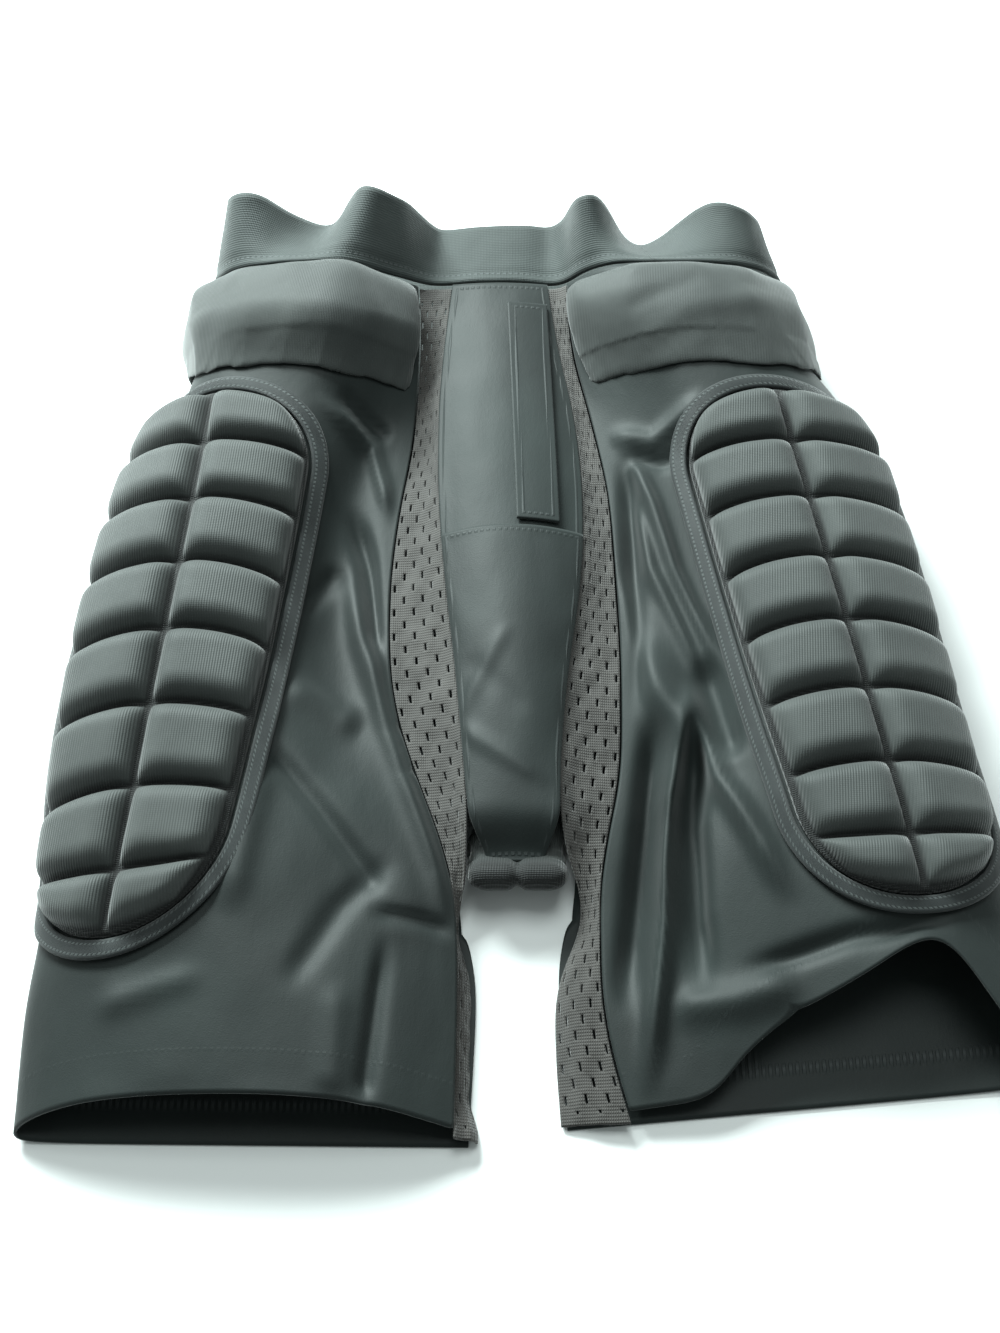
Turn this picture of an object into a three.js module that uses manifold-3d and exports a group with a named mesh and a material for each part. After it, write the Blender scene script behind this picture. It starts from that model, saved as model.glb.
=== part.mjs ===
// Padded protective shorts for hips, thighs and tailbone, lying on their back on a flat surface.
// Millimetres. X runs to the right of someone standing at the hems, Y from the hems to the
// waistband and Z up. The origin is under the middle of the outline, on the surface.
import * as THREE from 'three';
import { mergeVertices } from 'three/addons/utils/BufferGeometryUtils.js';
import Module from 'manifold-3d';

const wasm = await Module();
wasm.setup();

// Driving dimensions of the garment
const bodyLength = 510; // waist seam to back hem
const seatHalf = 200; // centre line to side fold, across the seat
const loft = 78; // greatest height that the cloth reaches
const frontHalf = 38; // half width of the centre front panel
const stripWidth = 32; // mesh strip, between the front panel and the leg
const legGapHalf = 24; // centre line to inner leg edge at the hem
const bandWidth = 43; // elastic waistband, seam to top edge
const frontLagWaist = 26; // how far the raised front sits towards the hems at the waist
const frontLagHem = 34; // and towards the waist at the hems
const tuckDepth = 50; // right front hem, turned under as far as the thigh pad
const tuckStart = 0.8; // where the cloth above it starts to be shorter

// Thicknesses and clearances
const clothWall = 1.6;
const hemTurn = 0.9; // extra thickness of the turned-up hem
const meshWall = 1.2;
const bandWall = 2.6;
const bandGap = 1; // seam between the waistband and the cloth
const bandProud = 0.8; // waistband's face over the cloth's face
const seamGap = 0.4;
const innerLegGap = 1.2; // between the mesh strip and the back cloth, along the inner leg
const layGap = 0.9; // between a pad or patch and the cloth under it
const seatDepth = 2; // how far under the cloth's inner face a pad's underside is cut away

// Thigh pads
const thighPadLength = 366; // over the binding
const thighPadHalf = 68; // half width over the binding
const thighPadTaper = 0.2; // how much narrower the knee end is
const thighPlate = 3.5; // backing under the cells
const thighCell = 11.5; // height of the cells over the backing
const cellRows = 8;
const cellSlope = 7.5; // run of a cell's sloping side, down to the stitched line
const rowArch = 9; // how far a row's middle stands towards the waist
const cellCrown = 2.5; // how much lower the cells are at the pad's sides
const bindingWidth = 9.5;
const bindingGap = 1.3; // stitched groove between the cells and the binding
const bindingHeight = 4.2;

// Hip pads
const hipPadWidth = 178; // around the hip
const hipPadHeight = 76; // waist to thigh
const hipPadThick = 15;
const hipPadRim = 2.5; // at its very edge
const hipPadEdge = 14; // run of the rounded edge
const hipPadSlant = 12; // how much lower it reaches at the front than at the side
const hipPadTop = 7; // seam to the pad's upper edge

// Tailbone pad, on the back, and its end that turns up at the crotch
const tailPadTop = 0.365; // share of the body length where it starts
const tailPadHalf = 54; // half width at its widest
const tailPadThick = 16;
const tailPadTurn = 0.715; // where it starts to turn up
const tailPadEnd = 0.775; // where it ends
const tailPadTipRise = 12; // turned-up end, above the rest
const tailPlate = 4; // backing between the cells
const restMargin = 5; // cloth stays level past the pad's edge
const tailRows = 5;

// Front opening
const flyWidth = 23;
const flyTop = 0.035;
const flyEnd = 0.362;
const flyOffset = 4; // centre line to the placket's inner edge
const pouchTop = 0.37;
const frontPanelEnd = 0.405;
const crotchAt = 0.755;

// Slots through the mesh strips
const slotLength = 5;
const slotWidth = 1.7;
const slotPitch = 20;
const slotsStart = 0.05;
const slotsEnd = 0.96;

// Front of each half, from the waist seam (0) to the hem (1). panel and strip are shares of
// frontHalf and stripWidth, side a share of seatHalf, heights (Z) shares of loft. valley is
// a share of the way from the inner edge to the crest, crest one from there to the side.
const leftFront = [
  { at: 0.0, panel: 0.74, strip: 0.62, innerZ: 0.46, valley: 0.45, valleyZ: 0.66, crest: 0.4, crestZ: 0.84, side: 0.86, sideZ: 0.5 },
  { at: 0.1, panel: 0.9, strip: 0.42, innerZ: 0.38, valley: 0.45, valleyZ: 0.64, crest: 0.38, crestZ: 0.86, side: 0.88, sideZ: 0.46 },
  { at: 0.2, panel: 1.0, strip: 0.4, innerZ: 0.33, valley: 0.4, valleyZ: 0.46, crest: 0.42, crestZ: 0.72, side: 0.95, sideZ: 0.4 },
  { at: 0.3, panel: 1.02, strip: 0.6, innerZ: 0.34, valley: 0.4, valleyZ: 0.4, crest: 0.5, crestZ: 0.68, side: 1.04, sideZ: 0.34 },
  { at: 0.42, panel: 0.94, strip: 0.9, innerZ: 0.34, valley: 0.42, valleyZ: 0.38, crest: 0.52, crestZ: 0.68, side: 1.12, sideZ: 0.32 },
  { at: 0.55, panel: 0.78, strip: 1.05, innerZ: 0.34, valley: 0.42, valleyZ: 0.4, crest: 0.52, crestZ: 0.66, side: 1.17, sideZ: 0.3 },
  { at: 0.66, panel: 0.68, strip: 0.72, innerZ: 0.33, valley: 0.42, valleyZ: 0.42, crest: 0.52, crestZ: 0.62, side: 1.18, sideZ: 0.29 },
  { at: 0.722, panel: 0.62, strip: 0.45, innerZ: 0.31, valley: 0.4, valleyZ: 0.42, crest: 0.5, crestZ: 0.6, side: 1.17, sideZ: 0.28 },
  { at: 0.8, panel: 0.5, strip: 0.3, innerZ: 0.25, valley: 0.4, valleyZ: 0.42, crest: 0.5, crestZ: 0.58, side: 1.16, sideZ: 0.27 },
  { at: 0.9, panel: 0.52, strip: 0.26, innerZ: 0.21, valley: 0.42, valleyZ: 0.42, crest: 0.48, crestZ: 0.52, side: 1.18, sideZ: 0.22 },
  { at: 1.0, panel: 0.58, strip: 0.22, innerZ: 0.16, valley: 0.42, valleyZ: 0.36, crest: 0.46, crestZ: 0.44, side: 1.17, sideZ: 0.14 },
];
const rightFront = [
  { at: 0.0, panel: 0.74, strip: 0.34, innerZ: 0.5, valley: 0.5, valleyZ: 0.78, crest: 0.34, crestZ: 0.86, side: 0.8, sideZ: 0.5 },
  { at: 0.1, panel: 0.84, strip: 0.24, innerZ: 0.42, valley: 0.5, valleyZ: 0.74, crest: 0.4, crestZ: 0.86, side: 0.86, sideZ: 0.46 },
  { at: 0.2, panel: 1.02, strip: 0.28, innerZ: 0.4, valley: 0.42, valleyZ: 0.56, crest: 0.42, crestZ: 0.76, side: 1, sideZ: 0.4 },
  { at: 0.3, panel: 1.08, strip: 0.42, innerZ: 0.4, valley: 0.4, valleyZ: 0.48, crest: 0.46, crestZ: 0.7, side: 1.07, sideZ: 0.34 },
  { at: 0.42, panel: 1.0, strip: 0.55, innerZ: 0.38, valley: 0.42, valleyZ: 0.46, crest: 0.5, crestZ: 0.68, side: 1.11, sideZ: 0.32 },
  { at: 0.55, panel: 0.74, strip: 0.86, innerZ: 0.36, valley: 0.42, valleyZ: 0.44, crest: 0.54, crestZ: 0.66, side: 1.14, sideZ: 0.3 },
  { at: 0.66, panel: 0.6, strip: 0.95, innerZ: 0.32, valley: 0.42, valleyZ: 0.42, crest: 0.56, crestZ: 0.64, side: 1.17, sideZ: 0.28 },
  { at: 0.722, panel: 0.56, strip: 0.78, innerZ: 0.3, valley: 0.4, valleyZ: 0.4, crest: 0.58, crestZ: 0.62, side: 1.19, sideZ: 0.28 },
  { at: 0.8, panel: 0.46, strip: 0.7, innerZ: 0.22, valley: 0.4, valleyZ: 0.36, crest: 0.62, crestZ: 0.62, side: 1.22, sideZ: 0.27 },
  { at: 0.9, panel: 0.45, strip: 0.7, innerZ: 0.19, valley: 0.42, valleyZ: 0.28, crest: 0.66, crestZ: 0.6, side: 1.25, sideZ: 0.26 },
  { at: 1.0, panel: 0.55, strip: 0.95, innerZ: 0.12, valley: 0.42, valleyZ: 0.2, crest: 0.7, crestZ: 0.58, side: 1.24, sideZ: 0.2 },
];
// Back of both halves. restZ is how much of the tailbone pad's thickness the cloth rides over.
// It comes down to the surface at lift, a share of seatHalf. back is the edge at the centre
// line or inner leg, a share of legGapHalf.
const backRows = [
  { at: 0.0, restZ: 0, lift: 0.4, back: 0 },
  { at: 0.26, restZ: 0.1, lift: 0.42, back: 0 },
  { at: 0.355, restZ: 1, lift: 0.5, back: 0 },
  { at: 0.58, restZ: 1, lift: 0.48, back: 0 },
  { at: 0.675, restZ: 1, lift: 0.42, back: 0 },
  { at: 0.705, restZ: 1, lift: 0.4, back: 1.15 },
  { at: 0.722, restZ: 1, lift: 0.4, back: 1.15 },
  { at: 0.755, restZ: 0.4, lift: 0.4, back: 1.15 },
  { at: 0.79, restZ: 0, lift: 0.4, back: 1.15 },
  { at: 0.84, restZ: 0, lift: 0.42, back: 0.8 },
  { at: 1.0, restZ: 0, lift: 0.5, back: 0.95 },
];
// Tailbone pad's half width, a share of tailPadHalf, from the waist end (0) to the crotch (1).
const tailWidthRows = [
  { at: 0, half: 0.8 },
  { at: 0.12, half: 0.96 },
  { at: 0.4, half: 1 },
  { at: 0.7, half: 0.66 },
  { at: 0.86, half: 0.42 },
  { at: 1, half: 0.36 },
];
// Centre front: line is how far the centre line stands to the right, a share of frontHalf,
// edgeZ the height at the panel's sides and puff its extra height in the middle.
const centreRows = [
  { at: 0.0, line: 0, edgeZ: 0.46, puff: 0.04 },
  { at: 0.12, line: 0.05, edgeZ: 0.44, puff: 0.1 },
  { at: 0.37, line: 0.14, edgeZ: 0.44, puff: 0.14 },
  { at: 0.55, line: 0.18, edgeZ: 0.43, puff: 0.14 },
  { at: 0.66, line: 0.2, edgeZ: 0.43, puff: 0.07 },
  { at: 0.722, line: 0.22, edgeZ: 0.43, puff: 0.02 },
  { at: 1.0, line: 0.22, edgeZ: 0.43, puff: 0.02 },
];
// Waistband, from the centre front round to the left as looked at: at is the share of the loop,
// lean how far the band points up (degrees from level), inward how far its top edge draws in.
const bandRows = [
  { at: 0.0, lean: 0, inward: 0 },
  { at: 0.05, lean: -2, inward: 0 },
  { at: 0.09, lean: 30, inward: -0.05 },
  { at: 0.125, lean: 26, inward: 0.02 },
  { at: 0.165, lean: -26, inward: 0.02 },
  { at: 0.235, lean: 34, inward: -0.2 },
  { at: 0.3, lean: 10, inward: 0.1 },
  { at: 0.4, lean: 0, inward: 0 },
  { at: 0.62, lean: 0, inward: 0 },
  { at: 0.72, lean: 10, inward: 0.2 },
  { at: 0.785, lean: 24, inward: 0.1 },
  { at: 0.87, lean: -38, inward: 0.1 },
  { at: 0.925, lean: 32, inward: 0.05 },
  { at: 0.955, lean: 2, inward: 0 },
  { at: 1.0, lean: 0, inward: 0 },
];
// Main folds of the legs. s runs round from the front inner edge (0) to the back (1) and v from
// the waist (0) to the hem (1); width is a share of stripWidth and depth one of loft.
const leftFolds = [
  { s0: 0.07, v0: 0.22, s1: 0.06, v1: 0.62, width: 0.42, depth: -0.05 },
  { s0: 0.13, v0: 0.24, s1: 0.12, v1: 0.5, width: 0.4, depth: 0.05 },
  { s0: 0.17, v0: 0.6, s1: 0.06, v1: 0.78, width: 0.45, depth: 0.05 },
  { s0: 0.2, v0: 0.86, s1: 0.08, v1: 0.74, width: 0.45, depth: -0.05 },
];
const rightFolds = [
  { s0: 0.06, v0: 0.3, s1: 0.06, v1: 0.62, width: 0.42, depth: 0.05 },
  { s0: 0.1, v0: 0.26, s1: 0.12, v1: 0.7, width: 0.4, depth: -0.06 },
  { s0: 0.08, v0: 0.66, s1: 0.07, v1: 0.9, width: 0.42, depth: -0.06 },
  { s0: 0.15, v0: 0.62, s1: 0.12, v1: 0.95, width: 0.42, depth: 0.06 },
];

// How much of tuckDepth is turned under, round the leg from the front inner edge to the back.
const leftTuck = [
  { at: 0, turned: 0 },
  { at: 1, turned: 0 },
];
const rightTuck = [
  { at: 0, turned: 0 },
  { at: 0.09, turned: 0 },
  { at: 0.15, turned: 0.5 },
  { at: 0.25, turned: 0.62 },
  { at: 0.35, turned: 1 },
  { at: 0.385, turned: 0.35 },
  { at: 0.42, turned: 0 },
  { at: 1, turned: 0 },
];

// Finishes
const cloth = { color: 0x1c2224, roughness: 0.62, metalness: 0 };
const padCloth = { color: 0x262b2c, roughness: 0.8, metalness: 0 };
const knitMesh = { color: 0x202020, roughness: 0.7, metalness: 0 };
const elastic = { color: 0x22282a, roughness: 0.85, metalness: 0 };
const tape = { color: 0x1e2425, roughness: 0.75, metalness: 0 };

const clamp = (value, low, high) => Math.min(high, Math.max(low, value));
const ease = (value) => {
  const t = clamp(value, 0, 1);
  return t * t * (3 - 2 * t);
};
const mix = THREE.MathUtils.lerp;
const evenly = (count) => Array.from({ length: count + 1 }, (_, i) => i / count);

// One column of a table at a place between its rows, on a curve that never overshoots.
function columnAt(rows, column, at) {
  const last = rows.length - 1;
  const i = clamp(rows.findIndex((row) => row.at > at) - 1, 0, last - 1);
  const k = at >= rows[last].at ? last - 1 : i;
  const slope = (j) => (rows[j + 1][column] - rows[j][column]) / (rows[j + 1].at - rows[j].at);
  const tangent = (j) => {
    if (j === 0) return slope(0);
    if (j === last) return slope(last - 1);
    const before = slope(j - 1);
    const after = slope(j);
    return before * after <= 0 ? 0 : (2 * before * after) / (before + after);
  };
  const span = rows[k + 1].at - rows[k].at;
  const t = clamp((at - rows[k].at) / span, 0, 1);
  const t2 = t * t;
  const t3 = t2 * t;
  return (
    rows[k][column] * (2 * t3 - 3 * t2 + 1) +
    tangent(k) * span * (t3 - 2 * t2 + t) +
    rows[k + 1][column] * (3 * t2 - 2 * t3) +
    tangent(k + 1) * span * (t3 - t2)
  );
}

// Welds a geometry's shared points and turns it to face outwards.
function welded(geometry) {
  geometry.deleteAttribute('normal');
  geometry.deleteAttribute('uv');
  const made = mergeVertices(geometry, 1e-4);
  const p = made.attributes.position;
  const index = made.index.array;
  const [a, b, c] = [new THREE.Vector3(), new THREE.Vector3(), new THREE.Vector3()];
  let volume = 0;
  for (let i = 0; i < index.length; i += 3) {
    a.fromBufferAttribute(p, index[i]);
    b.fromBufferAttribute(p, index[i + 1]);
    c.fromBufferAttribute(p, index[i + 2]);
    volume += a.dot(b.cross(c));
  }
  if (volume < 0) {
    for (let i = 0; i < index.length; i += 3) {
      [index[i + 1], index[i + 2]] = [index[i + 2], index[i + 1]];
    }
  }
  made.computeVertexNormals();
  return made;
}

// Parts the quads of an inner wall along the same diagonals as the outer wall's, so that the two
// walls of a thin piece stay apart where it is twisted.
function turnDiagonals(index, from, to) {
  for (let i = from; i < to; i += 6) {
    const [a, b, , , c, d] = index.slice(i, i + 6);
    index.set([a, b, c, a, c, d], i);
  }
}

// A slab with grid lines at the given places, its points moved to shape(across, along, through).
function slab(across, along, shape) {
  const box = new THREE.BoxGeometry(1, 1, 1, across.length - 1, along.length - 1, 1);
  const p = box.attributes.position;
  for (let i = 0; i < p.count; i += 1) {
    const a = across[Math.round((p.getX(i) + 0.5) * (across.length - 1))];
    const b = along[Math.round((p.getY(i) + 0.5) * (along.length - 1))];
    const moved = shape(a, b, p.getZ(i) > 0 ? 1 : 0);
    p.setXYZ(i, moved.x, moved.y, moved.z);
  }
  const under = box.groups[5];
  turnDiagonals(box.index.array, under.start, under.start + under.count);
  return welded(box);
}

// A closed ring with a section of few corners, its points moved to shape(around, corner).
function ring(around, corners, shape) {
  const torus = new THREE.TorusGeometry(1, 0.4, corners, around);
  const p = torus.attributes.position;
  for (let i = 0; i < p.count; i += 1) {
    const corner = Math.floor(i / (around + 1)) % corners;
    const turn = i % (around + 1) % around;
    const moved = shape(turn / around, corner);
    p.setXYZ(i, moved.x, moved.y, moved.z);
  }
  const farWall = Math.floor(corners / 2);
  turnDiagonals(torus.index.array, farWall * around * 6, corners * around * 6);
  return welded(torus);
}

// A geometry as a solid, and a solid as a geometry.
function solidOf(geometry) {
  const shared = welded(geometry);
  const { attributes, index } = shared;
  const vertProperties = new Float32Array(attributes.position.array);
  const triVerts = new Uint32Array(index.array);
  return new wasm.Manifold(new wasm.Mesh({ numProp: 3, vertProperties, triVerts }));
}
function geometryOf(solid) {
  const { vertProperties, triVerts } = solid.getMesh();
  const made = new THREE.BufferGeometry();
  made.setAttribute('position', new THREE.BufferAttribute(vertProperties, 3));
  made.setIndex(new THREE.BufferAttribute(triVerts, 1));
  made.computeVertexNormals();
  return made;
}
function cutBy(geometry, cutters, smoothing = 0.1) {
  let solid = solidOf(geometry);
  for (const cutter of cutters) solid = solid.subtract(solidOf(cutter));
  const bodies = solid.simplify(smoothing).decompose().sort((a, b) => b.volume() - a.volume());
  return geometryOf(bodies[0]);
}

function mesh(name, geometry, finish) {
  const made = new THREE.Mesh(geometry, new THREE.MeshStandardMaterial(finish));
  made.name = name;
  return made;
}

// Places shared by all the pieces: the centre line, and Y for a height and a place along.
const waistY = bodyLength / 2;
const centreX = (v) => columnAt(centreRows, 'line', v) * frontHalf;
function lyingY(v, z) {
  const raised = clamp(z / loft, 0, 1);
  return waistY - v * bodyLength + raised * mix(-frontLagWaist, frontLagHem, v);
}

// Tailbone pad's half width at a place along, and how much its end has turned up there.
function tailHalf(v) {
  return tailPadHalf * columnAt(tailWidthRows, 'half', (v - tailPadTop) / (tailPadEnd - tailPadTop));
}
function tailRise(v) {
  const t = clamp((v - tailPadTurn) / (tailPadEnd - tailPadTurn), 0, 1);
  return tailPadTipRise * t * t;
}

// Half of the garment's cloth. sign is -1 for the left as looked at and 1 for the right.
class Half {
  constructor(sign, front, folds, hemSlant, hemRaise, tuck) {
    Object.assign(this, { sign, front, folds, hemSlant, hemRaise, tuck });
    this.sections = new Map();
  }

  // Distances from the centre line
  panelEdge(v) {
    return columnAt(this.front, 'panel', v) * frontHalf;
  }
  frontEdge(v) {
    return this.panelEdge(v) + columnAt(this.front, 'strip', v) * stripWidth;
  }
  innerZ(v) {
    return columnAt(this.front, 'innerZ', v) * loft;
  }
  sideFold(v) {
    return columnAt(this.front, 'side', v) * seatHalf;
  }
  backEdge(v) {
    return columnAt(backRows, 'back', v) * legGapHalf + seamGap / 2;
  }

  // The cloth's outer face cut across at v: points from the front inner edge round to the back.
  section(v) {
    const key = v.toFixed(5);
    if (this.sections.has(key)) return this.sections.get(key);
    const front = (column) => columnAt(this.front, column, v);
    const back = (column) => columnAt(backRows, column, v);
    const inner = this.frontEdge(v);
    const side = this.sideFold(v);
    const crest = mix(inner, side, front('crest'));
    const valley = mix(inner, crest, front('valley'));
    const sideZ = front('sideZ') * loft;
    const crestZ = front('crestZ') * loft;
    const restZ = back('restZ') * (tailPadThick + layGap);
    const rest = tailHalf(v) + restMargin;
    const corners = [
      [inner, this.innerZ(v)],
      [valley, front('valleyZ') * loft],
      [crest, crestZ],
      [mix(crest, side, 0.72), mix(sideZ, crestZ, 0.66)],
      [side, sideZ * 0.8],
      [side - sideZ * 0.1, sideZ * 0.3],
      [side - sideZ * 0.6, 0],
      [mix(side, back('lift') * seatHalf, 0.6), 0],
      [back('lift') * seatHalf, 0],
      [rest, restZ],
      [this.backEdge(v), restZ],
    ];
    const points = corners.map(([u, z]) => new THREE.Vector3(u, 0, z));
    const curve = new THREE.CatmullRomCurve3(points, false, 'centripetal');
    curve.arcLengthDivisions = 20 * sectionSpans;
    const made = {
      points: curve.getSpacedPoints(120),
      length: curve.getLength(),
      lengths: curve.getLengths(),
    };
    this.sections.set(key, made);
    return made;
  }

  // How far along the section, as a share, a corner of it is; between corners, in proportion.
  shareOfCorner(corner, v) {
    const { lengths, length } = this.section(v);
    return lengths[Math.round(corner * 20)] / length;
  }

  // How far along the section, as a share, the front comes to a distance from the centre line.
  shareAt(distance, v) {
    const { points } = this.section(v);
    const i = points.findIndex((point) => point.x >= distance);
    const before = points[i - 1].x;
    return (i - 1 + (distance - before) / (points[i].x - before)) / (points.length - 1);
  }

  // A point of the cloth's outer face, without folds.
  plain(s, v) {
    const { points } = this.section(clamp(v, 0, 1));
    const place = clamp(s, 0, 1) * (points.length - 1);
    const i = Math.min(points.length - 2, Math.floor(place));
    const flat = points[i].clone().lerp(points[i + 1], place - i);
    const z = Math.max(0, flat.z);
    const x = centreX(v) + this.sign * flat.x;
    return new THREE.Vector3(x, lyingY(v, z) + this.hemShift(flat.x, v), z);
  }

  // The hems aren't square to the centre line, nor level with each other.
  hemShift(distance, v) {
    return (this.hemRaise + this.hemSlant * (distance - seatHalf / 2)) * ease(v / 0.9 - 0.1);
  }

  // Where a place of the cloth comes when the front hem is turned under.
  tuckedTo(s, v) {
    const short = (tuckDepth / bodyLength) * columnAt(this.tuck, 'turned', s);
    return v - short * ease((v - tuckStart) / (1 - tuckStart));
  }

  normal(s, v) {
    const step = 0.012;
    const a = this.plain(s + step, v).sub(this.plain(s - step, v));
    const b = this.plain(s, v + step).sub(this.plain(s, v - step));
    return b.cross(a).multiplyScalar(this.sign).normalize();
  }

  // How far the folds raise the cloth at a place.
  foldHeight(s, v) {
    const around = this.section(v).length;
    let height = 0;
    for (const fold of this.folds) {
      const [ax, ay] = [fold.s0 * around, fold.v0 * bodyLength];
      const [bx, by] = [fold.s1 * around - ax, fold.v1 * bodyLength - ay];
      const [px, py] = [s * around - ax, v * bodyLength - ay];
      const t = clamp((px * bx + py * by) / (bx * bx + by * by), 0, 1);
      const away = Math.hypot(px - t * bx, py - t * by) / (fold.width * stripWidth);
      height += fold.depth * loft * Math.exp(-away * away);
    }
    return height;
  }

  // The cloth at a depth under its outer face, or above it where depth is negative.
  at(s, v, depth = 0) {
    const normal = this.normal(s, v);
    const rim = ease(s / 0.04) * ease((1 - v) / 0.06) * ease(v / 0.06);
    const point = this.plain(s, v).addScaledVector(normal, this.foldHeight(s, v) * rim);
    point.z = Math.max(0, point.z);
    point.addScaledVector(normal, -depth);
    point.z = Math.max(depth, 0, point.z);
    return point;
  }
}

const left = new Half(-1, leftFront, leftFolds, 0.01, 0, leftTuck);
const right = new Half(1, rightFront, rightFolds, 0.09, 14, rightTuck);

// Leg and seat cloth of one half: one bent wall, thicker where the hem is turned up.
const stations = [0, 0.06, 0.12, 0.18, 0.24, 0.3, 0.36, 0.42, 0.48, 0.54, 0.6, 0.65, 0.69, 0.72,
  0.755, 0.79, 0.84, 0.89, 0.945, 1];
const stationsFrom = (start, end) => [start, ...stations.filter((v) => v > start && v < end), end];
// Lines round the leg, in corners of the section: front edge, valley, crest, shoulder, side,
// floor, then the back.
const sectionSpans = 10;
const aroundLeg = [0, 0.35, 0.7, 1, 1.35, 1.7, 2, 2.35, 2.7, 3, 3.5, 4, 5, 6, 7, 8, 9, 10];
function legCloth(half, outside = 0, inside = 0) {
  return slab(aroundLeg, stations, (corner, v, through) => {
    const s = half.shareOfCorner(corner, v);
    const wall = clothWall + hemTurn * ease((v - 0.9) / 0.04);
    return half.at(s, half.tuckedTo(s, v), through ? -outside : wall + inside);
  });
}

// The front panel's face at a share of its half width, -1 to 1.
function frontFace(share, v, height = 0) {
  const half = share < 0 ? left : right;
  const reach = half.panelEdge(v) - seamGap / 2;
  const row = (column) => columnAt(centreRows, column, v) * loft;
  const z = row('edgeZ') + row('puff') * (1 - share * share) + height;
  return new THREE.Vector3(centreX(v) + share * reach, lyingY(v, z), z);
}

const acrossFront = [-1, -0.66, -0.33, 0, 0.33, 0.66, 1];
function frontPanel() {
  return slab(acrossFront, stationsFrom(0, frontPanelEnd), (share, v, through) =>
    frontFace(share, v, through ? 0 : -clothWall));
}

// The pouch panel lies over the front panel's end and runs down to the crotch.
function pouchPanel() {
  const lift = clothWall + seamGap;
  return slab(acrossFront, stationsFrom(pouchTop, crotchAt), (share, v, through) =>
    frontFace(share, v, through ? lift : lift - clothWall));
}

function flyPlacket() {
  const reach = right.panelEdge(0.2);
  const low = flyOffset / reach;
  const high = (flyOffset + flyWidth) / reach;
  return slab([low, (low + high) / 2, high], evenly(8), (share, t, through) => {
    const v = mix(flyTop, flyEnd, t);
    const narrowed = Math.min(share * reach, right.panelEdge(v) - 2) / right.panelEdge(v);
    return frontFace(narrowed, v, layGap + (through ? clothWall : 0));
  });
}

// Mesh strip of one half: beside the front panel, then round the inner leg to the back.
function stripPoint(half, across, v, depth) {
  const outer = half.plain(0, v);
  const outerU = half.frontEdge(v) - seamGap;
  const panelU = half.panelEdge(v) + seamGap / 2;
  const panelZ = columnAt(centreRows, 'edgeZ', v) * loft;
  const backZ = columnAt(backRows, 'restZ', v) * (tailPadThick + layGap) + meshWall;
  const turned = ease((v - crotchAt + 0.012) / 0.04);
  const innerU = mix(panelU, half.backEdge(v) - innerLegGap - meshWall, turned);
  const innerZ = mix(panelZ, Math.min(backZ, meshWall + 0.3), turned);
  const round = mix(innerU, half.panelEdge(v) * 0.55, ease((v - 0.79) / 0.05));
  const pull = mix((panelU + outerU) / 2, round, turned);
  const sag = mix(Math.min(panelZ, outer.z) - 1.5, 0.45 * outer.z, turned);
  const curve = new THREE.QuadraticBezierCurve(
    new THREE.Vector2(innerU, innerZ),
    new THREE.Vector2(pull, sag),
    new THREE.Vector2(outerU, outer.z),
  );
  const at = curve.getPoint(across);
  const tangent = curve.getTangent(across);
  const u = at.x + tangent.y * depth;
  const z = at.y - tangent.x * depth;
  const kept = clamp(u, turned < 1 ? innerU : 0, across < 0.2 && turned > 0 ? innerU : outerU);
  const y = mix(lyingY(v, z) + half.hemShift(kept, v), outer.y, across * across);
  return new THREE.Vector3(centreX(v) + half.sign * kept, y, Math.max(0, z));
}

function meshStrip(half) {
  const strip = slab(evenly(3), stations, (across, v, through) =>
    stripPoint(half, across, v, through ? 0 : meshWall));
  const count = Math.floor((slotsEnd - slotsStart) * bodyLength / slotPitch);
  const cutters = evenly(count).map((t, i) => {
    const v = mix(slotsStart, slotsEnd, t);
    const across = i % 2 ? 0.22 : 0.78;
    const middle = stripPoint(half, across, v, meshWall / 2);
    const along = stripPoint(half, across, v + 0.01, meshWall / 2).sub(middle).normalize();
    const over = stripPoint(half, across + 0.05, v, meshWall / 2).sub(middle).normalize();
    const through = along.clone().cross(over).normalize();
    const slot = new THREE.BoxGeometry(slotWidth, slotLength, 6 * meshWall);
    const turn = new THREE.Matrix4().makeBasis(along.clone().cross(through), along, through);
    return slot.applyMatrix4(turn.setPosition(middle));
  });
  return cutBy(strip, cutters);
}

// Waist loop on the cloth's outer face, from the centre front round to the left and back.
function waistLoop() {
  const pieces = [];
  for (const share of [0, -0.4, -0.8]) pieces.push(frontFace(share, 0));
  pieces.push(stripPoint(left, 0.5, 0, 0));
  for (const s of evenly(16)) if (s > 0.01 && s < 0.99) pieces.push(left.at(s, 0));
  for (const s of evenly(16).reverse()) if (s > 0.01 && s < 0.99) pieces.push(right.at(s, 0));
  pieces.push(stripPoint(right, 0.5, 0, 0));
  for (const share of [0.8, 0.4]) pieces.push(frontFace(share, 0));
  const loop = new THREE.CatmullRomCurve3(pieces, true, 'centripetal');
  loop.arcLengthDivisions = 600;
  return loop;
}

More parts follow.
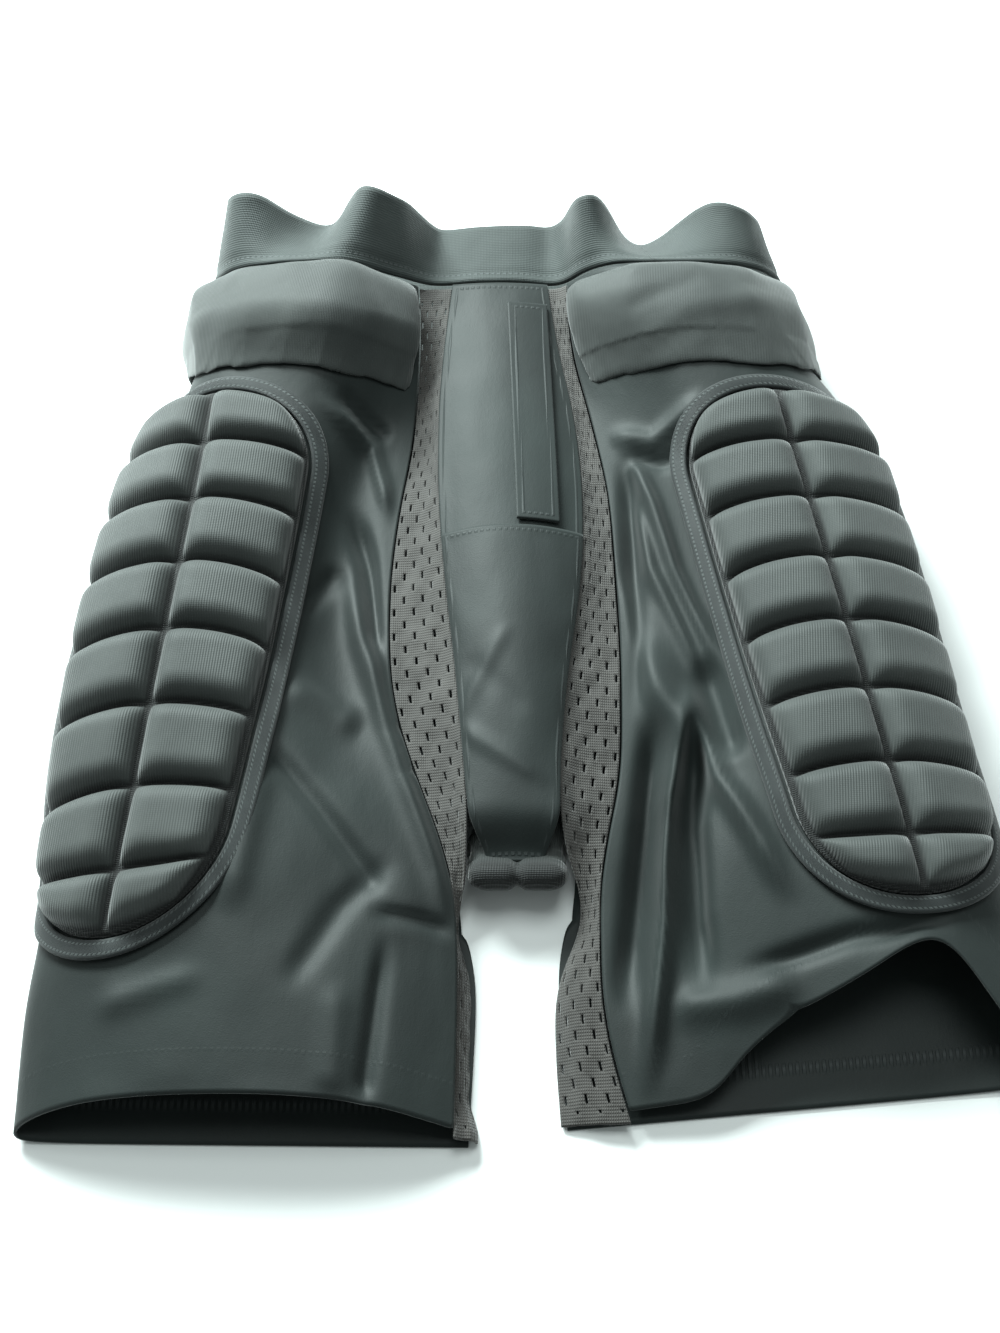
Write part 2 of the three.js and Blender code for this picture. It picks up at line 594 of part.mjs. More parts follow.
const bandSteps = 1;
function waistband() {
  const loop = waistLoop();
  const turns = 76;
  // Section corners run up the outer face and down the inner one.
  const corners = 2 * (bandSteps + 1);
  return ring(turns, corners, (t, corner) => {
    const foot = loop.getPointAt(t);
    const tangent = loop.getTangentAt(t);
    const out = new THREE.Vector3(tangent.z, 0, -tangent.x).normalize();
    const outside = corner <= bandSteps;
    const rise = (outside ? corner : corners - 1 - corner) / bandSteps;
    const lean = THREE.MathUtils.degToRad(columnAt(bandRows, 'lean', t));
    const inward = columnAt(bandRows, 'inward', t) * Math.sign(centreX(0) - foot.x);
    const way = new THREE.Vector3(inward, Math.cos(lean), Math.sin(lean)).normalize();
    const point = foot.clone().addScaledVector(way, bandGap + rise * bandWidth);
    point.addScaledVector(out, outside ? bandProud : bandProud - bandWall);
    point.z = Math.max(outside ? 0 : bandWall, point.z);
    return point;
  });
}

// Stadium outline grown by a margin: a place on the pad for the unit square's corner (x, y).
const tapered = (share) => 1 - thighPadTaper * (0.5 + share / 2) ** 2;
function padPlace(x, y, halfWidth, halfLength) {
  const straight = halfLength - halfWidth;
  const run = y * halfLength;
  const over = Math.abs(run) - straight;
  let p = x * halfWidth;
  let q = run;
  if (over > 0) {
    const k = over / halfWidth;
    p = x * halfWidth * Math.sqrt(1 - (k * k) / 2);
    q = Math.sign(run) * (straight + over * Math.sqrt(1 - (x * x) / 2));
  }
  return [p * tapered(q / halfLength), q];
}

// Thigh pad: line gives the pad's centre at its two ends as shares of seatHalf, how far below the
// hip pad it starts, and how much its length is pushed together.
const thighLines = {
  left: { half: left, top: 0.79, knee: 0.97, below: 4.8, pushed: 0.975 },
  right: { half: right, top: 0.73, knee: 0.96, below: 7, pushed: 0.985 },
};
function onThigh(line, p, q, height) {
  const start = hipPadTop + hipPadHeight + line.below;
  const v = (start + (thighPadLength / 2 + q) * line.pushed) / bodyLength;
  const centre = mix(line.top, line.knee, 0.5 + q / thighPadLength) * seatHalf;
  const { half } = line;
  const s = half.shareAt(centre, v) + p / half.section(v).length;
  return half.at(s, v, -height);
}

const padHalf = thighPadHalf - bindingWidth - bindingGap;
const padReach = thighPadLength / 2 - bindingWidth - bindingGap;
// Lines across a run of cells: where they are, as shares, and whether the face is up there.
function padLines(cells, length) {
  const cell = length / cells;
  const lines = [];
  for (let i = 0; i < cells; i += 1) {
    lines.push({ at: (i * cell) / length, up: 0 });
    lines.push({ at: (i * cell + cellSlope) / length, up: 1 });
    lines.push({ at: (i * cell + cell - cellSlope) / length, up: 1 });
  }
  lines.push({ at: 1, up: 0 });
  return lines;
}

// A pad's underside follows the cloth that it lies on, a gap away.
function seated(half, geometry) {
  return cutBy(geometry, [legCloth(half, layGap, seatDepth)], 0.45);
}

function thighPad(line) {
  const columns = padLines(2, 2 * padHalf);
  const rows = padLines(cellRows, 2 * padReach);
  const pad = slab(evenly(columns.length - 1), evenly(rows.length - 1), (a, b, through) => {
    const column = columns[Math.round(a * (columns.length - 1))];
    const row = rows[Math.round(b * (rows.length - 1))];
    const x = 2 * column.at - 1;
    const y = 2 * row.at - 1;
    const arch = (rowArch / padReach) * (x * x - 0.4) * (1 - y * y) * (1 - 0.6 * Math.max(0, y));
    const [p, q] = padPlace(x, y + arch, padHalf, padReach);
    const raised = column.up * row.up * (thighCell - cellCrown * x * x);
    const height = through ? layGap + thighPlate + raised : 0;
    return onThigh(line, p, q, height);
  });
  return seated(line.half, pad);
}

function padOutline(halfWidth, halfLength, t) {
  const straight = halfLength - halfWidth;
  const shape = new THREE.Path();
  shape.absarc(0, straight, halfWidth, 0, Math.PI, false);
  shape.absarc(0, -straight, halfWidth, Math.PI, 2 * Math.PI, false);
  shape.closePath();
  const at = shape.getPointAt(t);
  return [at.x * tapered(at.y / halfLength), at.y];
}

function thighBinding(line) {
  const section = [
    { out: 0, up: 0 },
    { out: bindingWidth, up: 0 },
    { out: bindingWidth, up: 0.35 },
    { out: bindingWidth * 0.55, up: 1 },
    { out: 0, up: 0.9 },
  ];
  const binding = ring(48, section.length, (t, corner) => {
    const { out, up } = section[corner];
    const inner = [thighPadHalf - bindingWidth, thighPadLength / 2 - bindingWidth];
    const [p, q] = padOutline(inner[0] + out, inner[1] + out, t);
    return onThigh(line, p, q, up * bindingHeight);
  });
  return seated(line.half, binding);
}

// Hip pad: a plate round the hip, its edges rounded down to the cloth.
const hipLines = {
  left: { half: left, start: 0.012 },
  right: { half: right, start: 0.012 },
};
function hipPad(line) {
  const across = [0, 0.03, 0.09, 0.25, 0.42, 0.58, 0.75, 0.91, 0.97, 1];
  const along = [0, 0.05, 0.15, 0.4, 0.65, 0.85, 0.95, 1];
  const { half } = line;
  const rise = (distance) => Math.sqrt(1 - (1 - clamp(distance / hipPadEdge, 0, 1)) ** 2);
  const pad = slab(across, along, (a, b, through) => {
    const toSide = Math.min(a, 1 - a) * hipPadWidth;
    const toEnd = Math.min(b, 1 - b) * hipPadHeight;
    const lift = rise(toSide) * rise(toEnd);
    const corner = hipPadSlant * ease((a - 0.6) / 0.4) * b;
    const v = (hipPadTop + b * hipPadHeight - corner) / bodyLength;
    const s = line.start + (a * hipPadWidth) / half.section(v).length;
    const height = through ? hipPadRim + lift * (hipPadThick - hipPadRim) : 0;
    return half.at(s, v, -height);
  });
  return seated(half, pad);
}

// Tailbone pad under the seat: cells face the surface, and its end turns up at the crotch.
function tailbonePad() {
  const length = (tailPadEnd - tailPadTop) * bodyLength;
  const columns = padLines(2, 2 * tailPadHalf);
  const rows = padLines(tailRows, length);
  return slab(evenly(columns.length - 1), evenly(rows.length - 1), (a, b, through) => {
    const column = columns[Math.round(a * (columns.length - 1))];
    const row = rows[Math.round(b * (rows.length - 1))];
    const v = mix(tailPadTop, tailPadEnd, row.at);
    const u = (2 * column.at - 1) * tailHalf(v);
    const depth = tailPlate + column.up * row.up * (tailPadThick - tailPlate);
    const z = tailPadThick + tailRise(v) - (through ? 0 : depth);
    return new THREE.Vector3(centreX(v) + u, lyingY(v, 0), z);
  });
}

const shorts = new THREE.Group();
shorts.add(mesh('waistband', waistband(), elastic));
shorts.add(mesh('front_panel', frontPanel(), cloth));
shorts.add(mesh('pouch_panel', pouchPanel(), cloth));
shorts.add(mesh('fly_placket', flyPlacket(), cloth));
for (const [name, half] of [['left', left], ['right', right]]) {
  shorts.add(mesh(`${name}_leg`, legCloth(half), cloth));
  shorts.add(mesh(`${name}_mesh_strip`, meshStrip(half), knitMesh));
  shorts.add(mesh(`${name}_hip_pad`, hipPad(hipLines[name]), padCloth));
  shorts.add(mesh(`${name}_thigh_pad`, thighPad(thighLines[name]), padCloth));
  shorts.add(mesh(`${name}_thigh_binding`, thighBinding(thighLines[name]), tape));
}
shorts.add(mesh('tailbone_pad', tailbonePad(), padCloth));

// The origin goes under the middle of the outline.
const outline = new THREE.Box3().setFromObject(shorts);
const middle = outline.getCenter(new THREE.Vector3());
shorts.position.set(-middle.x, -middle.y, -outline.min.z);

export default shorts;
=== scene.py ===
# Padded shorts for hips, thighs and tailbone, lying on their back: cloth, foam cells, net, tape.
import bpy
import bmesh
import math
import numpy as np
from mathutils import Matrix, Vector, noise
from mathutils.bvhtree import BVHTree
from mathutils.kdtree import KDTree


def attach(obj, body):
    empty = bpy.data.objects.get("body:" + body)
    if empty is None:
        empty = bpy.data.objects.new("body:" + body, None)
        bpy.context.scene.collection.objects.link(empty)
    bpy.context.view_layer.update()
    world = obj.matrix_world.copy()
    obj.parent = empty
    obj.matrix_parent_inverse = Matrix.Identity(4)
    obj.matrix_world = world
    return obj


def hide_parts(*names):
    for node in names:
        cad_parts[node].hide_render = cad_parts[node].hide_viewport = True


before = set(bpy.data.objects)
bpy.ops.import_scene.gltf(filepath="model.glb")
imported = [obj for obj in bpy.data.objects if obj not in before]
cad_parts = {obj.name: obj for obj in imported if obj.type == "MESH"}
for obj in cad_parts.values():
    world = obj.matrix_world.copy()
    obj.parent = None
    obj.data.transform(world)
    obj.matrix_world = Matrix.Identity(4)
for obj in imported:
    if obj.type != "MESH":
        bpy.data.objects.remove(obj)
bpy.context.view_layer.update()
MM = 0.001

# Thicknesses of the cloths, and the lowest level of any of them, in metres
CLOTH_WALL = 1.5 * MM
NET_WALL = 1.0 * MM
ELASTIC_WALL = 2.4 * MM
REST_LEVEL = 0.0001


# Helpers: meshes in and out, smoothing, distances and folds
def placed(name, data):
    """A new object in the scene."""
    made = bpy.data.objects.new(name, data)
    bpy.context.scene.collection.objects.link(made)
    return made


def mesh_from(bm):
    """The bmesh as a mesh; the bmesh itself is freed."""
    mesh = bpy.data.meshes.new("work")
    bm.to_mesh(mesh)
    bm.free()
    return mesh


def bmesh_of(mesh):
    bm = bmesh.new()
    bm.from_mesh(mesh)
    return bm


def merged_copy(node):
    """A CAD node's mesh as a bmesh, its loose triangles joined at their points."""
    bm = bmesh_of(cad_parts[node].data)
    bmesh.ops.remove_doubles(bm, verts=bm.verts, dist=0.02 * MM)
    bm.normal_update()
    return bm


SHARP_BEND = math.radians(62)


def skins(bm):
    """The parts that a piece's surface falls into at its sharp edges, largest first."""
    seen, parts = set(), []
    for first in bm.faces:
        if first in seen:
            continue
        seen.add(first)
        part, queue = [], [first]
        while queue:
            face = queue.pop()
            part.append(face)
            for edge in face.edges:
                if len(edge.link_faces) != 2 or edge.calc_face_angle(9) > SHARP_BEND:
                    continue
                for other in edge.link_faces:
                    if other not in seen:
                        seen.add(other)
                        queue.append(other)
        parts.append(part)
    return sorted(parts, key=lambda part: -sum(face.calc_area() for face in part))


def outer_skin(node, hollow):
    """The skin of a thin piece that faces away from its hollow's x and z."""
    bm = merged_copy(node)
    best, most = None, -1e9
    for part in skins(bm)[:2]:
        away = 0
        for face in part:
            centre = face.calc_center_median()
            from_hollow = centre - Vector((hollow[0], centre.y, hollow[1]))
            away += face.calc_area() * face.normal.dot(from_hollow.normalized())
        if away > most:
            best, most = part, away
    keep = set(best)
    bmesh.ops.delete(bm, geom=[f for f in bm.faces if f not in keep], context="FACES")
    bmesh.ops.join_triangles(bm, faces=bm.faces, angle_face_threshold=1.2,
                             angle_shape_threshold=3.1)
    return bm


def finer(bm, levels):
    """The same surface rounded off between its points, its open edges kept."""
    work = placed("work", mesh_from(bm))
    rounding = work.modifiers.new("rounding", "SUBSURF")
    rounding.levels = rounding.render_levels = levels
    rounding.boundary_smooth = "PRESERVE_CORNERS"
    return applied(work)


def applied(work):
    """The object's mesh with its modifiers applied; the object itself is dropped."""
    graph = bpy.context.evaluated_depsgraph_get()
    graph.update()
    made = bpy.data.meshes.new_from_object(work.evaluated_get(graph))
    mesh = work.data
    bpy.data.objects.remove(work)
    if not mesh.users:
        bpy.data.meshes.remove(mesh)
    return made


def soften(work, rounds):
    soft = work.modifiers.new("soft", "SMOOTH")
    soft.factor = 0.5
    soft.iterations = rounds


def relaxed(mesh, rounds):
    work = placed("work", mesh)
    soften(work, rounds)
    return applied(work)


def vectors_of(mesh, kind):
    flat = np.empty(len(mesh.vertices) * 3)
    mesh.vertices.foreach_get(kind, flat)
    return flat.reshape(-1, 3)


def points_of(mesh):
    return vectors_of(mesh, "co")


def normals_of(mesh):
    return vectors_of(mesh, "normal")


def set_points(mesh, points):
    mesh.vertices.foreach_set("co", points.ravel())
    mesh.update()


def attribute(mesh, name, values):
    """Keeps a number at each point, for the finish to read."""
    made = mesh.attributes.new(name, "FLOAT", "POINT")
    made.data.foreach_set("value", np.asarray(values, dtype=np.float32))


def values_of(mesh, name):
    flat = np.empty(len(mesh.vertices))
    mesh.attributes[name].data.foreach_get("value", flat)
    return flat


def ease(t):
    """From 0 to 1 without a corner at either end."""
    t = np.clip(t, 0, 1)
    return t * t * (3 - 2 * t)


def evened(rows):
    """Each row averaged with its two neighbours, the first and last kept."""
    rows[1:-1] = (rows[:-2] + 2 * rows[1:-1] + rows[2:]) / 4


def ripple(points, scale, seed):
    """Smooth noise from -1 to 1 at each point, scale metres from hump to hump."""
    shift = Vector((seed * 3.7, seed * 1.9, seed * 5.3))
    stretch = Vector(scale)
    made = np.empty(len(points))
    for i, (x, y, z) in enumerate(points):
        place = Vector((x / stretch.x, y / stretch.y, z / stretch.z)) + shift
        made[i] = noise.fractal(place, 1.0, 2.0, 2)
    return made


def rim_of(mesh):
    """The numbers of the points on the mesh's open edges."""
    bm = bmesh_of(mesh)
    made = [vert.index for vert in bm.verts if vert.is_boundary]
    bm.free()
    return made


def distances(points, targets):
    """How far each point is from the nearest target."""
    tree = KDTree(len(targets))
    for i, place in enumerate(targets):
        tree.insert(place, i)
    tree.balance()
    return np.array([tree.find(Vector(place))[2] for place in points])


EDGE_REACH = 30 * MM


def edge_distance(mesh):
    """How far each point is from the piece's open edge, up to EDGE_REACH."""
    points = points_of(mesh)
    return np.minimum(EDGE_REACH, distances(points, points[rim_of(mesh)]))


# The share of a fold's length over which it fades at each end
FOLD_END = 0.25


def fold(points, line, width, height):
    """A fold's height along a line seen from above, all in millimetres; made in metres."""
    line = np.array(line) * MM
    start, run = line[:-1], np.diff(line, axis=0)
    length = np.linalg.norm(run, axis=1)
    before = np.concatenate([[0], np.cumsum(length)])
    rel = points[:, None, :2] - start[None]
    t = np.clip((rel * run).sum(2) / length ** 2, 0, 1)
    far = np.linalg.norm(rel - t[:, :, None] * run, axis=2)
    near = far.argmin(axis=1)
    row = np.arange(len(points))
    share = (before[near] + t[row, near] * length[near]) / before[-1]
    fade = ease(share / FOLD_END) * ease((1 - share) / FOLD_END)
    return height * MM * fade * np.exp(-(far[row, near] / (width * MM)) ** 2)


# Finishes

# The wave texture has 20 radians in a metre at scale 1
WAVE_SCALE = 0.314159


class Finish:
    """A fabric finish built up node by node."""

    def __init__(self, name):
        self.material = bpy.data.materials.new(name)
        self.material.use_nodes = True
        self.tree = self.material.node_tree
        self.shader = self.tree.nodes["Principled BSDF"]
        self.place = self.node("ShaderNodeTexCoord").outputs["Object"]
        self.normal = None

    def node(self, kind, **settings):
        made = self.tree.nodes.new(kind)
        for key, value in settings.items():
            setattr(made, key, value)
        return made

    def link(self, source, target):
        self.tree.links.new(source, target)

    def maths(self, kind, first, second=None, third=None):
        made = self.node("ShaderNodeMath", operation=kind)
        for socket, value in zip(made.inputs, (first, second, third)):
            if value is not None:
                self.set(socket, value)
        return made.outputs[0]

    def set(self, socket, value):
        """Puts a number or a colour on a socket, or links another node's output to it."""
        if isinstance(value, (int, float)):
            socket.default_value = value
        elif isinstance(value, tuple):
            socket.default_value = (*value, 1)
        else:
            self.link(value, socket)

    def moved(self, scale=(1, 1, 1), turn=(0, 0, 0)):
        made = self.node("ShaderNodeMapping")
        made.inputs["Scale"].default_value = scale
        made.inputs["Rotation"].default_value = [math.radians(a) for a in turn]
        self.link(self.place, made.inputs["Vector"])
        return made.outputs["Vector"]

    def noise(self, scale, detail=2.0, rough=0.5, stretch=(1, 1, 1)):
        made = self.node("ShaderNodeTexNoise")
        made.inputs["Scale"].default_value = scale
        made.inputs["Detail"].default_value = detail
        made.inputs["Roughness"].default_value = rough
        self.link(self.moved(stretch), made.inputs["Vector"])
        return made.outputs["Fac"]

    def bands(self, pitch, axis, turn=(0, 0, 0)):
        """Fine parallel ribs, pitch metres from rib to rib."""
        made = self.node("ShaderNodeTexWave", wave_type="BANDS", bands_direction=axis)
        made.inputs["Scale"].default_value = WAVE_SCALE / pitch
        made.inputs["Distortion"].default_value = 0.0
        self.link(self.moved(turn=turn), made.inputs["Vector"])
        return made.outputs["Fac"]

    def wave(self, distance, pitch):
        """From -1 to 1 and back along a held distance, pitch metres from crest to crest."""
        return self.maths("SINE", self.maths("MULTIPLY", distance, 2 * math.pi / pitch))

    def held(self, name):
        """A number that the mesh keeps at each point."""
        return self.node("ShaderNodeAttribute", attribute_name=name).outputs["Fac"]

    def ramp(self, source, low, high, to_low=0.0, to_high=1.0):
        made = self.node("ShaderNodeMapRange", clamp=True)
        self.link(source, made.inputs["Value"])
        for key, value in (("From Min", low), ("From Max", high),
                           ("To Min", to_low), ("To Max", to_high)):
            made.inputs[key].default_value = value
        return made.outputs["Result"]

    def mixed(self, share, first, second):
        made = self.node("ShaderNodeMix", data_type="RGBA")
        self.link(share, made.inputs["Factor"])
        self.set(made.inputs[6], first)
        self.set(made.inputs[7], second)
        return made.outputs[2]

    def bump(self, height, depth, strength=1.0):
        made = self.node("ShaderNodeBump")
        made.inputs["Strength"].default_value = strength
        made.inputs["Distance"].default_value = depth
        self.link(height, made.inputs["Height"])
        if self.normal:
            self.link(self.normal, made.inputs["Normal"])
        self.normal = made.outputs["Normal"]

    def finished(self, colour, rough, sheen, sheen_rough, specular):
        for name, value in (("Base Color", colour), ("Roughness", rough),
                            ("Sheen Weight", sheen), ("Sheen Roughness", sheen_rough),
                            ("Specular IOR Level", specular)):
            self.set(self.shader.inputs[name], value)
        if self.normal:
            self.link(self.normal, self.shader.inputs["Normal"])
        return self.material


CLOTH_DARK = (0.004, 0.0068, 0.0066)
CLOTH_LIGHT = (0.0125, 0.0195, 0.0185)
CLOTH_STITCH = (0.04, 0.046, 0.047)
# Painted shade for the sewn grooves between pad cells, a thigh pad's underside and the tailbone
# pad's turned-up end
PAD_GROOVE_SHADE = (0.0035, 0.0045, 0.0045)
# The pad cloths' dark and light are several times lighter than the leg cloth: partly the pads' own
# knit tone, partly painted light for their lit tops
PAD_LIT_DARK = (0.021, 0.0255, 0.025)
PAD_LIT_LIGHT = (0.06, 0.0665, 0.064)
ELASTIC_DARK = (0.022, 0.0285, 0.0275)
ELASTIC_LIGHT = (0.045, 0.056, 0.054)
ELASTIC_STITCH = (0.06, 0.07, 0.07)
TAPE_DARK = (0.012, 0.0145, 0.015)
TAPE_LIGHT = (0.026, 0.0305, 0.031)
TAPE_STITCH = (0.065, 0.075, 0.074)
NET_DARK = (0.03, 0.0275, 0.0258)
NET_LIGHT = (0.073, 0.068, 0.064)


def stretch_cloth():
    f = Finish("stretch_cloth")
    wear = f.noise(14, 3)
    knit = f.noise(1400, 1)
    courses = f.noise(500, 1, 0.5, (1, 0.4, 1))
    hem = f.held("hem")
    stitch = f.maths("MULTIPLY", f.ramp(hem, 0.2, 0.8), f.ramp(f.bands(3.2 * MM, "X"), 0.3, 0.6))
    shade = f.maths("MULTIPLY_ADD", knit, 0.22, f.ramp(wear, 0.3, 0.72, 0.05, 0.75))
    f.bump(f.noise(60, 2, 0.5, (1, 0.6, 1)), 1.0 * MM, 0.25)
    f.bump(f.maths("MULTIPLY", knit, courses), 0.22 * MM, 0.55)
    f.bump(stitch, 0.6 * MM, 0.8)
    base = f.mixed(shade, CLOTH_DARK, CLOTH_LIGHT)
    return f.finished(f.mixed(f.maths("MULTIPLY", stitch, 0.6), base, CLOTH_STITCH),
                      f.ramp(wear, 0.2, 0.8, 0.56, 0.66), 0.12, 0.5, 0.32)


def pad_cloth(name, ribbed):
    """Knit over foam, with painted shade darkening the sewn grooves between the cells."""
    f = Finish(name)
    wear = f.noise(22, 3)
    groove_and_shade = f.held("groove_and_shade")
    ribs = f.bands((1.3 if ribbed else 0.9) * MM, "X", turn=(0, 0, 4))
    rungs = f.bands((1.0 if ribbed else 0.8) * MM, "Y")
    knit = f.maths("MULTIPLY_ADD", rungs, 0.15, f.maths("MULTIPLY", ribs, 0.85))
    shade = f.maths("MULTIPLY_ADD", knit, 0.22 if ribbed else 0.1,
                  f.ramp(wear, 0.3, 0.7, 0.25, 0.75))
    # How much painted groove shade covers each point
    groove_shade_share = f.ramp(groove_and_shade, 0.15, 0.85)
    f.bump(f.noise(60, 2, 0.5), 1.2 * MM, 0.3)
    f.bump(knit, (0.32 if ribbed else 0.15) * MM, 0.6)
    stitch = f.maths("MULTIPLY", f.ramp(groove_and_shade, 0.75, 0.95), f.ramp(rungs, 0.3, 0.7))
    f.bump(stitch, 0.5 * MM, 0.6)
    # Knit tone between the pads' dark and light, partly painted light
    base = f.mixed(shade, PAD_LIT_DARK, PAD_LIT_LIGHT)
    return f.finished(f.mixed(groove_shade_share, base, PAD_GROOVE_SHADE),
                      f.ramp(wear, 0.2, 0.8, 0.58, 0.7), 0.3, 0.45, 0.3)


def waist_elastic():
    f = Finish("waist_elastic")
    wear = f.noise(30, 3)
    across = f.held("across")
    along = f.held("along")
    cords, ribs = f.wave(across, 1.3 * MM), f.wave(along, 0.9 * MM)
    weave = f.maths("MULTIPLY_ADD", ribs, 0.35, f.maths("MULTIPLY", cords, 0.5))
    seam = f.maths("COMPARE", across, 6.0 * MM, 0.55 * MM)
    stitch = f.maths("MULTIPLY", seam, f.ramp(f.wave(along, 3.4 * MM), -0.5, 0.0))
    f.bump(f.noise(90, 2, 0.5), 0.7 * MM, 0.25)
    f.bump(weave, 0.25 * MM, 0.5)
    f.bump(stitch, 0.5 * MM, 0.8)
    shade = f.maths("MULTIPLY_ADD", weave, 0.12, f.ramp(wear, 0.3, 0.7, 0.3, 0.75))
    base = f.mixed(shade, ELASTIC_DARK, ELASTIC_LIGHT)
    return f.finished(f.mixed(stitch, base, ELASTIC_STITCH), 0.66, 0.2, 0.5, 0.3)


def binding_tape():
    f = Finish("binding_tape")
    wear = f.noise(40, 2)
    across = f.held("across")
    along = f.held("along")
    rows = f.maths("COMPARE", f.maths("ABSOLUTE", across), 2.6 * MM, 0.55 * MM)
    stitch = f.maths("MULTIPLY", rows, f.ramp(f.wave(along, 3.0 * MM), -0.4, 0.1))
    f.bump(f.wave(f.maths("ADD", along, across), 0.8 * MM), 0.12 * MM, 0.5)
    f.bump(rows, -0.4 * MM, 0.6)
    f.bump(stitch, 0.6 * MM, 0.9)
    base = f.mixed(f.ramp(wear, 0.3, 0.7), TAPE_DARK, TAPE_LIGHT)
    return f.finished(f.mixed(stitch, base, TAPE_STITCH), 0.6, 0.2, 0.4, 0.35)


def knit_mesh():
    f = Finish("knit_mesh")
    wear = f.noise(40, 2)
    yarn = f.bands(1.1 * MM, "X")
    loops = f.bands(1.5 * MM, "Y")
    f.bump(f.maths("MULTIPLY", yarn, loops), 0.4 * MM, 0.8)
    shade = f.maths("MULTIPLY_ADD", f.maths("MULTIPLY", yarn, loops), 0.4,
                  f.ramp(wear, 0.3, 0.7, 0.2, 0.7))
    return f.finished(f.mixed(shade, NET_DARK, NET_LIGHT), 0.68, 0.2, 0.5, 0.3)


FINISHES = {
    "stretch_cloth": stretch_cloth(),
    "ribbed_pad_cloth": pad_cloth("ribbed_pad_cloth", True),
    "hip_pad_cloth": pad_cloth("hip_pad_cloth", False),
    "waist_elastic": waist_elastic(),
    "binding_tape": binding_tape(),
    "knit_mesh": knit_mesh(),
}


def finish_piece(mesh, name, slot, node):
    """Makes a mesh the piece that stands for a CAD node."""
    mesh.name = name
    mesh.materials.clear()
    mesh.materials.append(FINISHES[slot])
    mesh.polygons.foreach_set("use_smooth", [True] * len(mesh.polygons))
    piece = placed(name, mesh)
    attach(piece, "root")
    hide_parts(node)
    return piece


def with_wall(piece, thickness, side=-1):
    """Gives a sheet its thickness: -1 inwards from its points, 0 half to each side."""
    wall = piece.modifiers.new("wall", "SOLIDIFY")
    wall.thickness = thickness
    wall.offset = side
    wall.use_even_offset = False


# Cloth of the legs

# Each fold is a line seen from above, then its width and height, all in millimetres
FOLDS = {
    "left_leg": [
        (((-118, 124), (-86, 104), (-72, 54)), 4, 3), (((-104, 132), (-74, 112)), 4, -3),
        (((-96, 70), (-86, 30), (-75, -38)), 5, -5),
        (((-98, 44), (-86, -18), (-75, -52), (-61, -96), (-43, -146), (-33, -190)), 7, 4.5),
        (((-122, -8), (-98, 30)), 5, -2.5),
        (((-126, -50), (-84, -72)), 9, 2.5),
        (((-134, -82), (-104, -118), (-68, -166)), 5, -2.6),
        (((-64, -140), (-90, -170), (-116, -216)), 6, -2.2),
        (((-131, -92), (-136, -130), (-143, -180)), 7, 2.6),
        (((-80, -172), (-52, -174), (-22, -182)), 3.6, -2.2),
        (((-68, -180), (-73, -230), (-80, -292)), 4, -3.2),
        (((-90, -205), (-92, -270)), 7, 1.6),
        (((-150, -205), (-205, -222)), 6, 1.4),
    ],
    "right_leg": [
        (((42, 112), (70, 102), (104, 122)), 5, 2.5), (((50, 96), (74, 88), (96, 96)), 4, -2.5),
        (((84, -44), (70, -110), (66, -172), (52, -262)), 4.4, 6.5),
        (((88, -58), (78, -124), (78, -172), (84, -215)), 6.5, -7),
        (((80, -44), (96, -104), (111, -137), (126, -172)), 5, 4.5),
        (((66, -52), (59, -119), (44, -222)), 6.5, -6.5),
        (((42, 34), (54, -20), (84, -92)), 9, 5),
        (((56, 104), (55, 20), (58, -68)), 6, -5),
        (((52, 110), (68, 62), (78, 18), (104, -52)), 4, 3.4),
        (((56, 84), (66, 20), (92, -52)), 3.6, 2.4),
        (((90, -30), (102, -96)), 6, -4.5),
        (((96, -202), (150, -188), (200, -184)), 5, -3),
        (((62, -215), (96, -214), (128, -206)), 8, 3),
    ],
}
FOLD_DEPTH = {"left_leg": 1.5, "right_leg": 1.6}
HIP_FOLDS = {
    "left_hip_pad": [(((-104, 250), (-110, 100)), 15, 3.4), (((-150, 150), (-84, 138)), 5, 1.2)],
    "right_hip_pad": [
        (((38, 112), (66, 135), (110, 152)), 6, 1.6), (((46, 140), (90, 165), (144, 180)), 7, 1.6),
        (((90, 112), (130, 135), (170, 152)), 7, 1.4), (((50, 166), (104, 188)), 6, -1.2),
    ],
}
POUCH_FOLDS = [
    (((-40, -78), (-26, -50), (-8, -16)), 4.5, 1.2),
    (((-42, -70), (-16, -90), (12, -108)), 5, 1.3),
    (((-34, -34), (2, -72)), 6, -0.8),
]
# A line down the hollow of each leg, by its x and z
LEG_HOLLOW = {"left_leg": (-0.125, 0.018), "right_leg": (0.12, 0.018)}
# The centre back seam's x. Cloth lower than BACK_HEIGHT is the back. Its rim within SEAM_SPREAD
# of the seam is sewn to it, and the cloth moves with it over DRAWN_IN.
BACK_SEAM = -10.6 * MM
BACK_HEIGHT, SEAM_SPREAD, DRAWN_IN = 12 * MM, 8 * MM, 14 * MM
# How far the back's upper edge runs under the waistband, and up to what height it does
UNDER_BAND, UNDER_BAND_TO, UNDER_BAND_FADE = 2.4 * MM, 24 * MM, 8 * MM
# The hem is the part of a leg's rim beyond this x and below this y
HEM_PART = {"left_leg": (0.040, -0.17), "right_leg": (0.050, -0.15)}
HEM_DEPTH, HEM_STITCH = 19 * MM, 2.6 * MM
LEG_SKINS = {}


def leg_lift(node, p, n, seed):
    """How far folds and ripples lift each point of the leg's cloth."""
    lift = np.zeros(len(p))
    for line, width, height in FOLDS[node]:
        lift += FOLD_DEPTH[node] * fold(p, line, width, height)
    lift *= ease(n[:, 2] / 0.35 + 0.3)
    lift += 0.3 * MM * ripple(p, (0.018, 0.04, 0.018), seed)
    lift += 0.8 * MM * ripple(p, (0.05, 0.07, 0.05), seed + 5)
    return lift


